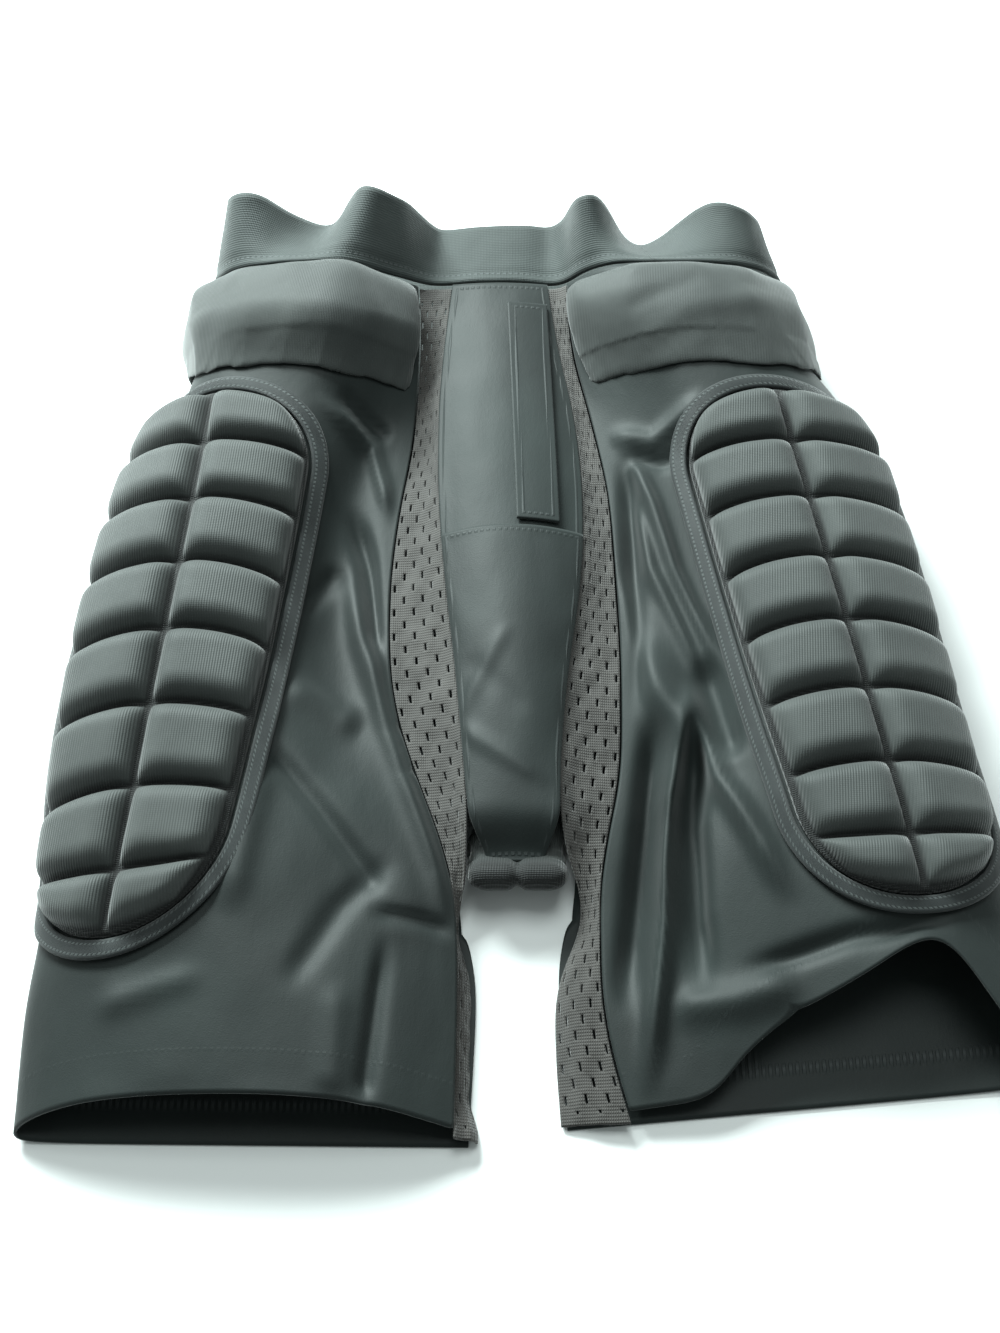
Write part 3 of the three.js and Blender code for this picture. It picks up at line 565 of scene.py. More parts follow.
def back_drawn_in(p, rim, toward):
    """Moves the back cloth up to the centre seam, and its upper edge under the waistband."""
    away = toward * (BACK_SEAM - p[:, 0])
    seam = p[rim][(p[rim, 2] < BACK_HEIGHT) & (np.abs(away[rim]) < SEAM_SPREAD)]
    seam = seam[np.argsort(seam[:, 1])]
    gap = np.interp(p[:, 1], seam[:, 1], toward * (BACK_SEAM - seam[:, 0]))
    nearer = gap * ease(1 - (away - gap) / DRAWN_IN)
    p[:, 0] += np.where(p[:, 2] < BACK_HEIGHT, toward * nearer, 0)
    back_edge = p[rim][p[rim, 2] < BACK_HEIGHT / 2][:, 1].max()
    at_waist = ease(1 - (back_edge - p[:, 1]) / DRAWN_IN)
    p[:, 1] += UNDER_BAND * at_waist * ease((UNDER_BAND_TO - p[:, 2]) / UNDER_BAND_FADE)


def leg(node, seed):
    mesh = finer(outer_skin(node, LEG_HOLLOW[node]), 3)
    mesh = relaxed(mesh, 5)
    LEG_SKINS[node] = mesh.copy()
    p, n, rim = points_of(mesh), normals_of(mesh), rim_of(mesh)
    lift = leg_lift(node, p, n, seed) * ease(edge_distance(mesh) / (10 * MM))
    p = p + n * lift[:, None]
    p[:, 2] = np.maximum(p[:, 2], REST_LEVEL + CLOTH_WALL * ease(1 + 2 * n[:, 2]))
    toward = 1 if node == "left_leg" else -1
    back_drawn_in(p, rim, toward)
    set_points(mesh, p)
    beyond, below = HEM_PART[node]
    border = p[rim]
    hem = border[(toward * border[:, 0] < -beyond) & (border[:, 1] < below)]
    row = np.exp(-((distances(p, hem) - HEM_DEPTH) / HEM_STITCH) ** 2)
    attribute(mesh, "hem", row * np.where(n[:, 2] > 0, 0.3, 1))
    piece = finish_piece(mesh, node + "_cloth", "stretch_cloth", node)
    with_wall(piece, CLOTH_WALL)


# Front panel, pouch and fly flap
FRONT_HOLLOW = (-0.009, -0.2)
FRONT_STITCH, FRONT_STITCH_WIDTH = 3.5 * MM, 0.9 * MM
# The pouch's lower end: where it starts and how long it is, its dip and its middle
POUCH_END, POUCH_END_LENGTH, POUCH_DIP, POUCH_MIDDLE = -0.112, 0.03, 13 * MM, -6 * MM


def front_cloth(node, seed, height):
    mesh = finer(outer_skin(node, FRONT_HOLLOW), 4)
    p, n = points_of(mesh), normals_of(mesh)
    from_edge = edge_distance(mesh)
    lift = height * MM * ripple(p, (0.03, 0.05, 0.03), seed)
    if node == "pouch_panel":
        for line, width, rise in POUCH_FOLDS:
            lift += fold(p, line, width, rise)
    lift *= ease(from_edge / (8 * MM))
    p = p + n * lift[:, None]
    if node == "pouch_panel":
        end = ease((POUCH_END - p[:, 1]) / POUCH_END_LENGTH) ** 2
        p[:, 2] -= POUCH_DIP * end
        p[:, 0] = POUCH_MIDDLE + (p[:, 0] - POUCH_MIDDLE) * (1 - 0.3 * end)
    set_points(mesh, p)
    stitch = np.exp(-((from_edge - FRONT_STITCH) / FRONT_STITCH_WIDTH) ** 2)
    attribute(mesh, "hem", 0.6 * stitch)
    piece = finish_piece(mesh, node + "_cloth", "stretch_cloth", node)
    with_wall(piece, CLOTH_WALL)


# Waistband

# Faces round the band and up it
BAND_AROUND, BAND_UP = 456, 14
BAND_HEIGHT = 43 * MM
# Edges shorter than BAND_RIM cross the wall; the next one on a rim is within BAND_STEP
BAND_RIM, BAND_STEP = 3.6 * MM, 20 * MM


def smooth_loop(points, count):
    """A closed row of points as a smooth one of count points."""
    closed = np.vstack([points[-2:], points, points[:3]])
    made = []
    for place in np.linspace(0, len(points), count, endpoint=False):
        i = int(place)
        t = place - i
        a, b, c, d = closed[i + 1:i + 5]
        made.append(b + 0.5 * t * (c - a + t * (2 * a - 5 * b + 4 * c - d
                                               + t * (3 * (b - c) + d - a))))
    made = np.array(made)
    for _ in range(8):
        made = (np.roll(made, 1, 0) + 2 * made + np.roll(made, -1, 0)) / 4
    return made


def band_rims():
    """The band's lower and upper rims in the middle of its wall, point over point."""
    bm = merged_copy("waistband")
    across = {vert: edge for edge in bm.edges if edge.calc_length() < BAND_RIM
              for vert in edge.verts}
    middle = {edge: (edge.verts[0].co + edge.verts[1].co) / 2 for edge in across.values()}
    beside, above = {}, {}
    for edge in bm.edges:
        one, other = (across[vert] for vert in edge.verts)
        if one is other:
            continue
        far = (middle[one] - middle[other]).length
        for a, b in ((one, other), (other, one)):
            if far < BAND_STEP:
                beside.setdefault(a, set()).add(b)
            elif far < above.get(a, (1, None))[0]:
                above[a] = (far, b)
    row = [min(middle, key=lambda edge: middle[edge].y)]
    while True:
        ahead = sorted((e for e in beside[row[-1]] if e not in row), key=lambda e: middle[e].x)
        if not ahead:
            break
        row.append(ahead[-1])
    foot = np.array([middle[edge][:] for edge in row])
    top = np.array([middle[above[edge][1]][:] for edge in row])
    bm.free()
    return foot, top


def band_as_seen(foot, top):
    """Moves the rims to how the band stands in the photo, mostly at its upper left."""
    for rim, inward, higher in ((foot, 2 * MM, 0), (top, 17 * MM, 5 * MM)):
        left = ease((-0.03 - rim[:, 0]) / 0.12)
        rim[:, 0] += inward * left
        rim[:, 1] += higher * left
    foot[:, 0] += 8 * MM * ease((foot[:, 0] - 0.05) / 0.07)
    top[:, 1] -= 10 * MM * ease((top[:, 0] - 0.105) / 0.03)
    top[:, 1] -= 7 * MM * np.exp(-((top[:, 0] + 0.14) / 0.014) ** 2)


def waistband():
    foot, top = band_rims()
    band_as_seen(foot, top)
    foot, top = smooth_loop(foot, BAND_AROUND), smooth_loop(top, BAND_AROUND)
    steps = np.linalg.norm(np.diff(foot, axis=0), axis=1)
    length = np.concatenate([[0], np.cumsum(steps)])
    bm = bmesh.new()
    bmesh.ops.create_grid(bm, x_segments=BAND_AROUND, y_segments=BAND_UP, size=0.5)
    across_at = bm.verts.layers.float.new("across")
    along_at = bm.verts.layers.float.new("along")
    for vert in bm.verts:
        i = int(round((vert.co.x + 0.5) * BAND_AROUND)) % BAND_AROUND
        up = vert.co.y + 0.5
        vert.co = Vector(foot[i] + (top[i] - foot[i]) * up)
        vert[across_at], vert[along_at] = up * BAND_HEIGHT, length[i]
    bmesh.ops.remove_doubles(bm, verts=bm.verts, dist=0.01 * MM)
    bmesh.ops.recalc_face_normals(bm, faces=bm.faces)
    low = [f for f in bm.faces if f.calc_center_median().z < 6 * MM]
    if sum(f.normal.z for f in low) > 0:
        bmesh.ops.reverse_faces(bm, faces=bm.faces)
    mesh = mesh_from(bm)
    p, n = points_of(mesh), normals_of(mesh)
    share = values_of(mesh, "across") / BAND_HEIGHT
    lift = 0.7 * MM * ripple(p, (0.025, 0.03, 0.025), 21) + 0.9 * MM * share ** 2
    lift -= 0.8 * MM * np.exp(-((share - 0.13) / 0.05) ** 2)
    p = p + n * lift[:, None]
    p[:, 2] = np.maximum(p[:, 2], REST_LEVEL + ELASTIC_WALL / 2)
    set_points(mesh, p)
    piece = finish_piece(mesh, "waistband_elastic", "waist_elastic", "waistband")
    with_wall(piece, ELASTIC_WALL, 0)


# Foam pads
def surface_of(node):
    bm = merged_copy(node)
    tree = BVHTree.FromBMesh(bm)
    bm.free()
    return tree


def height_over(tree, points):
    return np.array([tree.find_nearest(Vector(place))[3] for place in points])


def remeshed(node, voxel, rounds):
    """A copy of a pad in even small faces, its edges rounded."""
    work = placed("work", mesh_from(merged_copy(node)))
    even = work.modifiers.new("even", "REMESH")
    even.mode = "VOXEL"
    even.voxel_size = voxel
    soften(work, rounds)
    return applied(work)


def puffed(mesh, held, pressure, cap, frames):
    """Where a pad's cloth goes when its foam pushes it out. held is 1 where it is sewn down."""
    work = placed("work", mesh.copy())
    before = points_of(work.data)
    group = work.vertex_groups.new(name="sewn")
    for i in np.nonzero(held > 0.02)[0]:
        group.add([int(i)], float(min(1, held[i])), "REPLACE")
    cloth = work.modifiers.new("cloth", "CLOTH")
    rules = cloth.settings
    rules.use_pressure = True
    rules.uniform_pressure_force = pressure
    rules.vertex_group_mass = "sewn"
    rules.effector_weights.gravity = 0
    rules.quality = 4
    rules.tension_stiffness = rules.compression_stiffness = 12
    rules.bending_stiffness = 0.6
    rules.mass = 0.25
    cloth.point_cache.frame_start = 1
    cloth.point_cache.frame_end = frames
    for number in range(1, frames + 1):
        bpy.context.scene.frame_set(number)
    made = applied(work)
    move = points_of(made) - before
    bpy.context.scene.frame_set(1)
    bpy.data.meshes.remove(made)
    far = np.linalg.norm(move, axis=1)
    move *= (np.minimum(far, cap) / np.maximum(far, 1e-9))[:, None]
    return before + move


def rounded_off(mesh):
    """One more subdivision of a pad."""
    bm = bmesh_of(mesh)
    bpy.data.meshes.remove(mesh)
    return finer(bm, 1)


# The leg's layout in the CAD model: waist seam to hem, height, and how the front lags
CAD_SHIFT = np.array([-14.38, -21.61, 0]) * MM
BODY, LOFT = 510 * MM, 78 * MM
LAG_WAIST, LAG_HEM = -26 * MM, 34 * MM
START = 83 * MM
CENTRE_AT = (0, 0.12, 0.37, 0.55, 0.66, 0.722, 1)
CENTRE_X = tuple(38 * MM * share for share in (0, 0.05, 0.14, 0.18, 0.2, 0.22, 0.22))
# Side, gap below the hip pad, stretch, place round the leg at top and knee, hem slant and raise
THIGHS = {
    "left": (-1, 4.8 * MM, 0.975, 0.79, 0.97, 0.01, 0),
    "right": (1, 7 * MM, 0.985, 0.73, 0.96, 0.09, 14 * MM),
}
# Places round the leg are shares of LEG_ROUND
LEG_ROUND, PAD_LENGTH_HALF = 200 * MM, 183 * MM
PAD_HALF, PAD_REACH = 57.2 * MM, 172.2 * MM
CELL_LENGTHS = np.array((0.98, 1, 1.02, 1.03, 1.04, 1.05, 1.03, 0.76))
CELL_EDGES = np.concatenate([[0], np.cumsum(CELL_LENGTHS)]) / CELL_LENGTHS.sum()
CELL_MARGIN, ROW_ARCH = 2.6 * MM, 9 * MM
PLATE, CELL, PAD_LIFT, PAD_UNDER = 3.6 * MM, 12.4 * MM, 0.9 * MM, 1.2 * MM
CELL_ROUND, GROOVE_FLOOR = 13.5 * MM, 1.1 * MM
# Below this the pad narrows to its end
PAD_NARROWS = 115 * MM
PAD_COLUMNS, PAD_ROWS = 76, 228


class ThighMap:
    """Places on a leg's face by distance round it (p) and down it (q) from a pad's middle."""

    def __init__(self, side):
        sign, below, stretch, top, knee, slant, raised = THIGHS[side]
        mesh = LEG_SKINS[side + "_leg"]
        p = points_of(mesh) - CAD_SHIFT
        edges = np.array([e.vertices[:] for e in mesh.edges])
        a, b = p[edges[:, 0]], p[edges[:, 1]]
        self.ps = np.linspace(-84, 84, 85) * MM
        self.qs = np.linspace(-196, 196, 99) * MM
        table = []
        for q in self.qs:
            v = (START + below + (PAD_LENGTH_HALF + q) * stretch) / BODY
            lag = (LAG_WAIST * (1 - v) + LAG_HEM * v) / LOFT
            middle = np.interp(v, CENTRE_AT, CENTRE_X)
            hem = float(ease(v / 0.9 - 0.1))

            def over(c):
                """How far points are above the line round the leg at this q."""
                away = sign * (c[:, 0] - middle)
                level = BODY / 2 - v * BODY + lag * c[:, 2]
                return c[:, 1] - level - (raised + slant * (away - 100 * MM)) * hem

            fa, fb = over(a), over(b)
            cut = fa * fb < 0
            t = (fa[cut] / (fa[cut] - fb[cut]))[:, None]
            line = a[cut] + (b[cut] - a[cut]) * t
            away = sign * (line[:, 0] - middle)
            core = np.array([away.mean(), 16 * MM])
            turn = np.arctan2(line[:, 2] - core[1], away - core[0])
            turn = np.where(turn < -2.2, turn + 2 * math.pi, turn)
            order = np.argsort(-turn)
            line, away = line[order], away[order]
            run = np.hypot(np.diff(away), np.diff(line[:, 2]))
            length = np.concatenate([[0], np.cumsum(run)])
            down = 0.5 + q / (2 * PAD_LENGTH_HALF)
            centre = (top + (knee - top) * down) * LEG_ROUND
            side_at = int(away.argmax())
            start = np.interp(centre, away[:side_at + 1], length[:side_at + 1])
            table.append([np.interp(start + self.ps, length, line[:, k]) for k in range(3)])
        table = np.array(table).transpose(0, 2, 1)
        for _ in range(3):
            evened(table)
            evened(table.swapaxes(0, 1))
        self.table = table
        out = np.cross(np.gradient(table, axis=1), np.gradient(table, axis=0)) * sign
        out /= np.linalg.norm(out, axis=2)[:, :, None]
        middle_column = len(self.ps) // 2
        self.out = -out if out[:, middle_column, 2].mean() < 0 else out

    def at(self, p, q, height):
        """Places at p and q, height metres out from the leg."""
        i = np.clip((q - self.qs[0]) / (self.qs[1] - self.qs[0]), 0, len(self.qs) - 1.001)
        k = np.clip((p - self.ps[0]) / (self.ps[1] - self.ps[0]), 0, len(self.ps) - 1.001)
        i0, k0 = i.astype(int), k.astype(int)
        ti, tk = (i - i0)[:, None], (k - k0)[:, None]

        def read(table):
            upper = table[i0, k0] * (1 - tk) + table[i0, k0 + 1] * tk
            lower = table[i0 + 1, k0] * (1 - tk) + table[i0 + 1, k0 + 1] * tk
            return upper * (1 - ti) + lower * ti

        return read(self.table) + read(self.out) * height[:, None] + CAD_SHIFT


def tapered(share):
    """A pad's width at a share of its half-length, as a share of its full width."""
    return 1 - 0.2 * (0.5 + share / 2) ** 2


def pad_place(x, y, half_width, half_length):
    """A stadium outline's place for the unit square's x and y."""
    straight = half_length - half_width
    run = y * half_length
    over = np.abs(run) - straight
    k = np.maximum(over, 0) / half_width
    p = x * half_width * np.sqrt(np.maximum(1 - k * k / 2, 0))
    q = np.where(over > 0, np.sign(run) * (straight + np.maximum(over, 0)
                                           * np.sqrt(np.maximum(1 - x * x / 2, 0))), run)
    return p * tapered(q / half_length), q


def shoulder(distance):
    """A cell's rise from its sewn line, 0 to 1, at a distance from the line."""
    t = 1 - np.clip((distance - GROOVE_FLOOR) / CELL_ROUND, 0, 1)
    return (1 - t ** 2.6) ** (1 / 1.7)


def thigh_pad(side, seed):
    node, on = side + "_thigh_pad", THIGH_MAPS[side]
    bm = bmesh.new()
    bmesh.ops.create_grid(bm, x_segments=PAD_COLUMNS, y_segments=PAD_ROWS, size=1)
    bmesh.ops.duplicate(bm, geom=bm.verts[:] + bm.edges[:] + bm.faces[:])
    mesh = mesh_from(bm)
    square = points_of(mesh)
    under = np.arange(len(square)) >= len(square) // 2
    x, y = square[:, 0], square[:, 1]
    arch = (ROW_ARCH / PAD_REACH) * (x * x - 0.4) * (1 - y * y) * (1 - 0.6 * np.maximum(0, y))
    p, q = pad_place(x, y + arch, PAD_HALF, PAD_REACH)
    wide = PAD_HALF * tapered(q / PAD_REACH)
    past = np.maximum((np.abs(q) - PAD_NARROWS) / PAD_HALF, 0)
    wide = wide * np.sqrt(np.maximum(1 - past ** 2 / 2, 0))
    to_column = np.minimum(np.abs(x) * wide, np.maximum((1 - np.abs(x)) * wide - CELL_MARGIN, 0))
    to_row = np.abs((y[:, None] + 1) / 2 - CELL_EDGES).min(axis=1) * 2 * PAD_REACH
    to_row = np.minimum(to_row, np.maximum((1 - np.abs(y)) * PAD_REACH - CELL_MARGIN, 0))
    rim = np.minimum(1 - np.abs(x), 1 - np.abs(y)) < 1e-4
    cell = shoulder(to_column) * shoulder(to_row)
    lump = 1 + 0.05 * ripple(np.stack([p, q, 0 * p], 1), (0.05, 0.05, 1), seed)
    high = PAD_LIFT + PLATE + cell * (CELL - 2.4 * MM * x * x) * lump
    high = np.where(under | rim, PAD_UNDER, high)
    set_points(mesh, on.at(p, q, high))
    # The sewn lines between the cells: held down when the foam puffs, and painted dark as shade by
    # the finish
    groove_and_shade = 1 - ease((np.minimum(to_column, to_row) - 0.7 * MM) / (2.6 * MM))
    # The underside is painted all over in the groove shade colour
    attribute(mesh, "groove_and_shade", np.where(under, 1, groove_and_shade))
    bm = bmesh_of(mesh)
    bpy.data.meshes.remove(mesh)
    bmesh.ops.remove_doubles(bm, verts=bm.verts, dist=0.05 * MM)
    bmesh.ops.recalc_face_normals(bm, faces=bm.faces)
    mesh = mesh_from(bm)
    set_points(mesh, puffed(mesh, values_of(mesh, "groove_and_shade"), 3.0, 2.0 * MM, 6))
    mesh = relaxed(mesh, 1)
    piece = finish_piece(mesh, node + "_cells", "ribbed_pad_cloth", node)


def sloped(points, on, reach, least):
    """Brings a pad's hem-side edge nearer to the leg, as its stretched cover does."""
    at = np.linspace(points[:, 0].min(), points[:, 0].max(), 13)
    low = np.array([points[np.abs(points[:, 0] - x) < 9 * MM, 1].min() for x in at])
    share = ease((points[:, 1] - np.interp(points[:, 0], at, low)) / reach)
    feet = np.array([on.find_nearest(Vector(place))[0][:] for place in points])
    return feet + (points - feet) * (least + (1 - least) * share)[:, None]


# How far up from its hem side each hip pad slopes
HIP_SLOPE = {"left": 34 * MM, "right": 46 * MM}


def hip_pad(side, seed):
    node, on = side + "_hip_pad", LEG_SURFACE[side + "_leg"]
    mesh = remeshed(node, 4.0 * MM, 3)
    high = height_over(on, points_of(mesh))
    sewn = 1 - ease((high - 2.0 * MM) / (4 * MM))
    set_points(mesh, puffed(mesh, sewn, 4.0, 6 * MM, 12))
    mesh = rounded_off(relaxed(mesh, 2))
    p, n = points_of(mesh), normals_of(mesh)
    top = ease((height_over(on, p) - 2 * MM) / (6 * MM))
    lift = 0.7 * MM * ripple(p, (0.05, 0.03, 0.05), seed)
    for line, width, rise in HIP_FOLDS[node]:
        lift += fold(p, line, width, rise)
    p = p + n * (lift * top)[:, None]
    p[:, 1] += 4 * MM * ease(1 - (p[:, 1].max() - p[:, 1]) / (18 * MM))
    set_points(mesh, sloped(p, on, HIP_SLOPE[side], 0.25))
    attribute(mesh, "groove_and_shade", np.zeros(len(p)))
    piece = finish_piece(mesh, node + "_cover", "hip_pad_cloth", node)


# The tailbone pad's turned-up end: how long, how much fuller, and how far it comes forward
TAIL_END, TAIL_FULLER, TAIL_FORWARD = 34 * MM, 4.6 * MM, 8.5 * MM


def tailbone_pad():
    mesh = rounded_off(remeshed("tailbone_pad", 3.0 * MM, 4))
    p, n = points_of(mesh), normals_of(mesh)
    tip = ease(1 - (p[:, 1] - p[:, 1].min()) / TAIL_END)
    at_tip = p[tip > 0.5]
    middle, half = at_tip[:, 0].mean(), np.ptp(at_tip[:, 0]) / 2
    off = np.abs(p[:, 0] - middle) / half
    cells = 1 - 0.5 * np.exp(-(off / 0.12) ** 2)
    p = p + n * (TAIL_FULLER * cells * tip)[:, None]
    p[:, 0] += (p[:, 0] - middle) * 0.06 * tip
    p[:, 1] += TAIL_FORWARD * tip
    p[:, 2] = np.maximum(p[:, 2], REST_LEVEL)
    set_points(mesh, p)
    # The whole turned-up end is painted dark as shade in the groove colour, with stitches
    # strongest along its middle
    attribute(mesh, "groove_and_shade", tip * np.maximum(1 - ease(off / 0.2), 0.9))
    piece = finish_piece(mesh, "tailbone_pad_cells", "ribbed_pad_cloth", "tailbone_pad")


# Tape sewn round the thigh pads
TAPE_AROUND, TAPE_CORNERS = 420, 14
TAPE_HALF, TAPE_THICK, TAPE_LIFT, TAPE_CROWN = 4.9 * MM, 2.6 * MM, 1.1 * MM, 0.5 * MM
# The middle of the tape's run, as a stadium's half-width and half-length
TAPE_RUN = 63.25 * MM, 178.25 * MM
TAPE_LENGTH = 0.9


def stadium(half_width, half_length, share):
    """The place on a stadium's outline at a share of its length round."""
    straight = half_length - half_width
    arc = math.pi * half_width
    run = share * (2 * arc + 4 * straight)
    if run < arc:
        turn = run / half_width
        return half_width * math.cos(turn), straight + half_width * math.sin(turn)
    run -= arc
    if run < 2 * straight:
        return -half_width, straight - run
    run -= 2 * straight
    if run < arc:
        turn = math.pi + run / half_width
        return half_width * math.cos(turn), -straight + half_width * math.sin(turn)
    return half_width, -straight + run - arc


def rounded_square(turn):
    """A place on the edge of a square with round corners, by its angle."""
    c, s = math.cos(turn), math.sin(turn)
    return math.copysign(abs(c) ** 0.75, c), math.copysign(abs(s) ** 0.75, s)


def binding(side):
    node = side + "_thigh_binding"
    bm = bmesh.new()
    bmesh.ops.create_grid(bm, x_segments=TAPE_AROUND, y_segments=TAPE_CORNERS, size=0.5)
    across_at = bm.verts.layers.float.new("across")
    along_at = bm.verts.layers.float.new("along")
    p, q, high = [], [], []
    for vert in bm.verts:
        share = (vert.co.x + 0.5) % 1.0
        out, up = rounded_square((vert.co.y + 0.5) * 2 * math.pi)
        out *= TAPE_HALF
        x, y = stadium(TAPE_RUN[0] + out, TAPE_RUN[1] + out, share)
        p.append(x * tapered(y / PAD_LENGTH_HALF))
        q.append(y)
        high.append(TAPE_LIFT + TAPE_THICK / 2 * (1 + up) + (TAPE_CROWN if up > 0 else 0))
        vert[across_at], vert[along_at] = out, share * TAPE_LENGTH
    place = THIGH_MAPS[side].at(np.array(p), np.array(q), np.array(high))
    for vert, where in zip(bm.verts, place):
        vert.co = where
    bmesh.ops.remove_doubles(bm, verts=bm.verts, dist=0.01 * MM)
    bmesh.ops.recalc_face_normals(bm, faces=bm.faces)
    finish_piece(mesh_from(bm), node + "_tape", "binding_tape", node)


# Net strips

# Faces down each strip and across it; every fourth column has slots, staggered
ROWS, COLUMNS = 330, 24
SLOT_ROWS, SLOT_PITCH, SLOT_COLUMNS = 3, 10, 4
SECTIONS, SECTION_POINTS = 90, 7
NET_FADE = 6 * MM
# Where each strip is gathered narrow, and by what share of its width
NECKS = {"left": (-160 * MM, 0.35), "right": (-168 * MM, 0.5)}
NECK_LENGTH = 30 * MM
FRONT_MIDDLE = -0.009


def strip_section(points, edges, y):
    """Where a net strip is cut across at y: points from its panel edge to its leg edge."""
    a, b = points[edges[:, 0]], points[edges[:, 1]]
    cut = (a[:, 1] - y) * (b[:, 1] - y) < 0
    a, b = a[cut], b[cut]
    t = (y - a[:, 1]) / (b[:, 1] - a[:, 1])
    ring = a + (b - a) * t[:, None]
    far = np.linalg.norm(ring[:, None] - ring[None], axis=2)
    i, k = np.unravel_index(far.argmax(), far.shape)
    first, last = ring[i], ring[k]
    if abs(first[0] - FRONT_MIDDLE) > abs(last[0] - FRONT_MIDDLE):
        first, last = last, first
    chord = last - first
    share = (ring - first) @ chord / (chord @ chord)
    away = np.array([-chord[2], 0, chord[0]]) / np.linalg.norm(chord)
    off = (ring - first) @ away
    places = np.linspace(0, 1, SECTION_POINTS)
    weight = np.exp(-((share[None] - places[:, None]) / 0.13) ** 2)
    sag = (weight * off).sum(1) / weight.sum(1)
    return first + places[:, None] * chord + sag[:, None] * away


def strip_course(side, points, edges):
    """Cuts across a net strip from its waist end to its hem, gathered at its neck."""
    top, end = points[:, 1].max() - 3 * MM, points[:, 1].min() + 7 * MM
    cuts = np.array([strip_section(points, edges, y) for y in np.linspace(top, end, SECTIONS)])
    for _ in range(5):
        evened(cuts)
    cuts = np.concatenate([cuts, [cuts[-1] + (cuts[-1] - cuts[-2]) * 0.9]])
    at, narrowed = NECKS[side]
    neck = np.exp(-((cuts[:, 0, 1] - at) / NECK_LENGTH) ** 2) * narrowed
    cuts = cuts + (cuts[:, -1:] - cuts) * neck[:, None, None]
    if side == "left":
        tucked = ease((-0.15 - cuts[:, :, 1]) / 0.03) * ease((cuts[:, :, 1] + 0.272) / 0.02)
        cuts[:, :, 0] -= 5 * MM * tucked
        cuts[:, :, 2] -= 3 * MM * tucked
    return cuts


def is_slot(face):
    """Whether a face of the flat net, one metre square, is part of a slot."""
    centre = face.calc_center_median()
    i = int((centre.x + 0.5) * COLUMNS)
    k = int((centre.y + 0.5) * ROWS)
    step = (k + (SLOT_PITCH // 2 if (i // SLOT_COLUMNS) % 2 else 0)) % SLOT_PITCH
    inside = 5 < k < ROWS - 4 and 1 < i < COLUMNS - 1
    return inside and i % SLOT_COLUMNS == 2 and step < SLOT_ROWS


def net_strip(side, seed):
    node = side + "_mesh_strip"
    bm = merged_copy(node)
    points = np.array([v.co[:] for v in bm.verts])
    edges = np.array([[v.index for v in e.verts] for e in bm.edges])
    bm.free()
    cuts = strip_course(side, points, edges)
    steps, across = np.linspace(0, 1, len(cuts)), np.linspace(0, 1, SECTION_POINTS)
    bm = bmesh.new()
    bmesh.ops.create_grid(bm, x_segments=COLUMNS, y_segments=ROWS, size=0.5)
    gone = [face for face in bm.faces if is_slot(face)]
    bmesh.ops.delete(bm, geom=gone, context="FACES_ONLY")
    for vert in bm.verts:
        u, v = vert.co.x + 0.5, vert.co.y + 0.5
        place = steps.searchsorted(v, side="right") - 1
        place = min(max(place, 0), len(steps) - 2)
        t = (v - steps[place]) / (steps[1] - steps[0])
        row = cuts[place] * (1 - t) + cuts[place + 1] * t
        vert.co = [np.interp(u, across, row[:, axis]) for axis in range(3)]
    bmesh.ops.recalc_face_normals(bm, faces=bm.faces)
    if sum(face.normal.z * face.calc_area() for face in bm.faces) < 0:
        bmesh.ops.reverse_faces(bm, faces=bm.faces)
    mesh = mesh_from(bm)
    p, n = points_of(mesh), normals_of(mesh)
    lift = 1.1 * MM * ripple(p, (0.016, 0.022, 0.016), seed)
    lift += 0.6 * MM * ripple(p, (0.007, 0.01, 0.007), seed + 2)
    p = p + n * (lift * ease(long_edge_distance(len(p)) / NET_FADE))[:, None]
    p[:, 2] = np.maximum(p[:, 2], REST_LEVEL + NET_WALL)
    set_points(mesh, p)
    piece = finish_piece(mesh, node + "_net", "knit_mesh", node)
    with_wall(piece, NET_WALL)


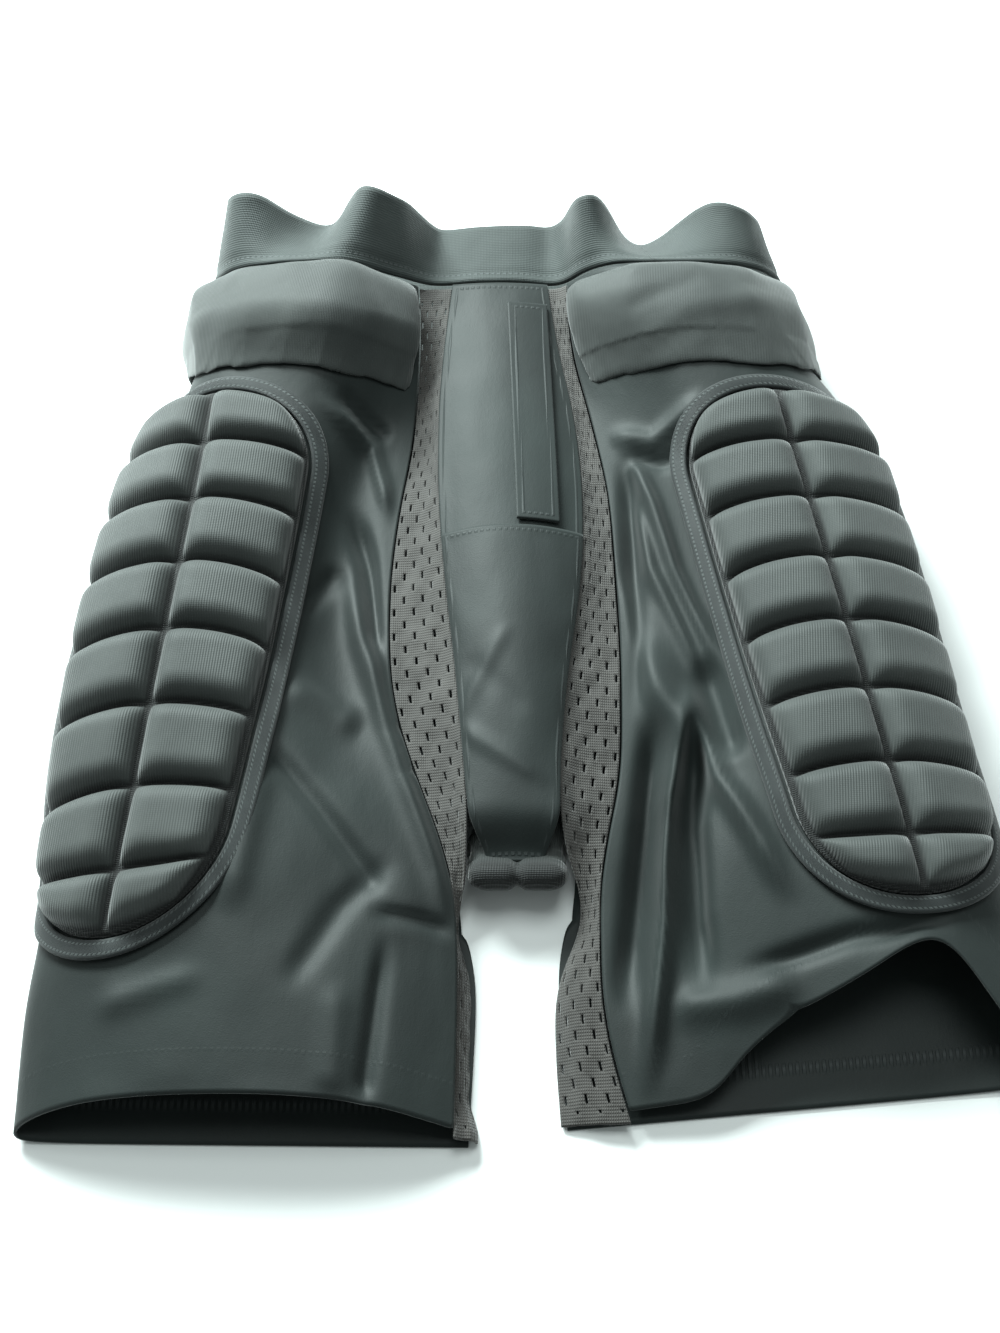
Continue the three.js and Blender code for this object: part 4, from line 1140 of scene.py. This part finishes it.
def long_edge_distance(count):
    """How far each of the net's points is from its long edges, not from its slots."""
    column = np.arange(count) % (COLUMNS + 1)
    return np.minimum(column, COLUMNS - column) * 1.2 * MM


# Floor, light and camera
def floor():
    bm = bmesh.new()
    bmesh.ops.create_grid(bm, x_segments=2, y_segments=2, size=3)
    piece = placed("floor", mesh_from(bm))
    paint = Finish("pale_floor")
    piece.data.materials.append(paint.finished((0.86, 0.87, 0.87), 0.7, 0.0, 0.5, 0.2))


def area_light(name, place, size, power, colour):
    """A rectangular light that shines at the middle of the floor."""
    light = bpy.data.lights.new(name, "AREA")
    light.shape = "RECTANGLE"
    light.size, light.size_y = size
    light.energy = power
    light.color = colour
    lamp = placed(name, light)
    lamp.location = place
    lamp.rotation_euler = (-Vector(place)).to_track_quat("-Z", "Y").to_euler()


# The pieces, from the cloth outwards
leg("left_leg", 1)
leg("right_leg", 2)
front_cloth("front_panel", 11, 0.5)
front_cloth("pouch_panel", 12, 0.8)
front_cloth("fly_placket", 13, 0.35)
waistband()
LEG_SURFACE = {node: surface_of(node) for node in ("left_leg", "right_leg")}
THIGH_MAPS = {side: ThighMap(side) for side in ("left", "right")}
thigh_pad("left", 31)
thigh_pad("right", 32)
hip_pad("left", 41)
hip_pad("right", 42)
tailbone_pad()
binding("left")
binding("right")
net_strip("left", 51)
net_strip("right", 52)


floor()
area_light("window", (-0.75, 1.25, 1.05), (0.9, 0.6), 104, (0.88, 1.0, 0.98))
area_light("ceiling", (0.1, 0.5, 2.0), (1.0, 1.0), 20, (0.9, 1.0, 0.98))
world = bpy.data.worlds.new("studio")
world.use_nodes = True
sky = world.node_tree.nodes["Background"].inputs
sky["Color"].default_value = (0.88, 1.0, 0.98, 1)
sky["Strength"].default_value = 0.3
bpy.context.scene.world = world
bpy.context.scene.view_settings.view_transform = "Standard"

camera = bpy.data.cameras.new("camera")
camera.lens = 45.9
camera.sensor_fit = "VERTICAL"
camera.sensor_height = 36
camera.clip_start = 0.01
eye = placed("camera", camera)
eye.location = (-0.01438, -0.47661, 0.7934)
eye.rotation_euler = (math.radians(30), 0, 0)
bpy.context.scene.camera = eye
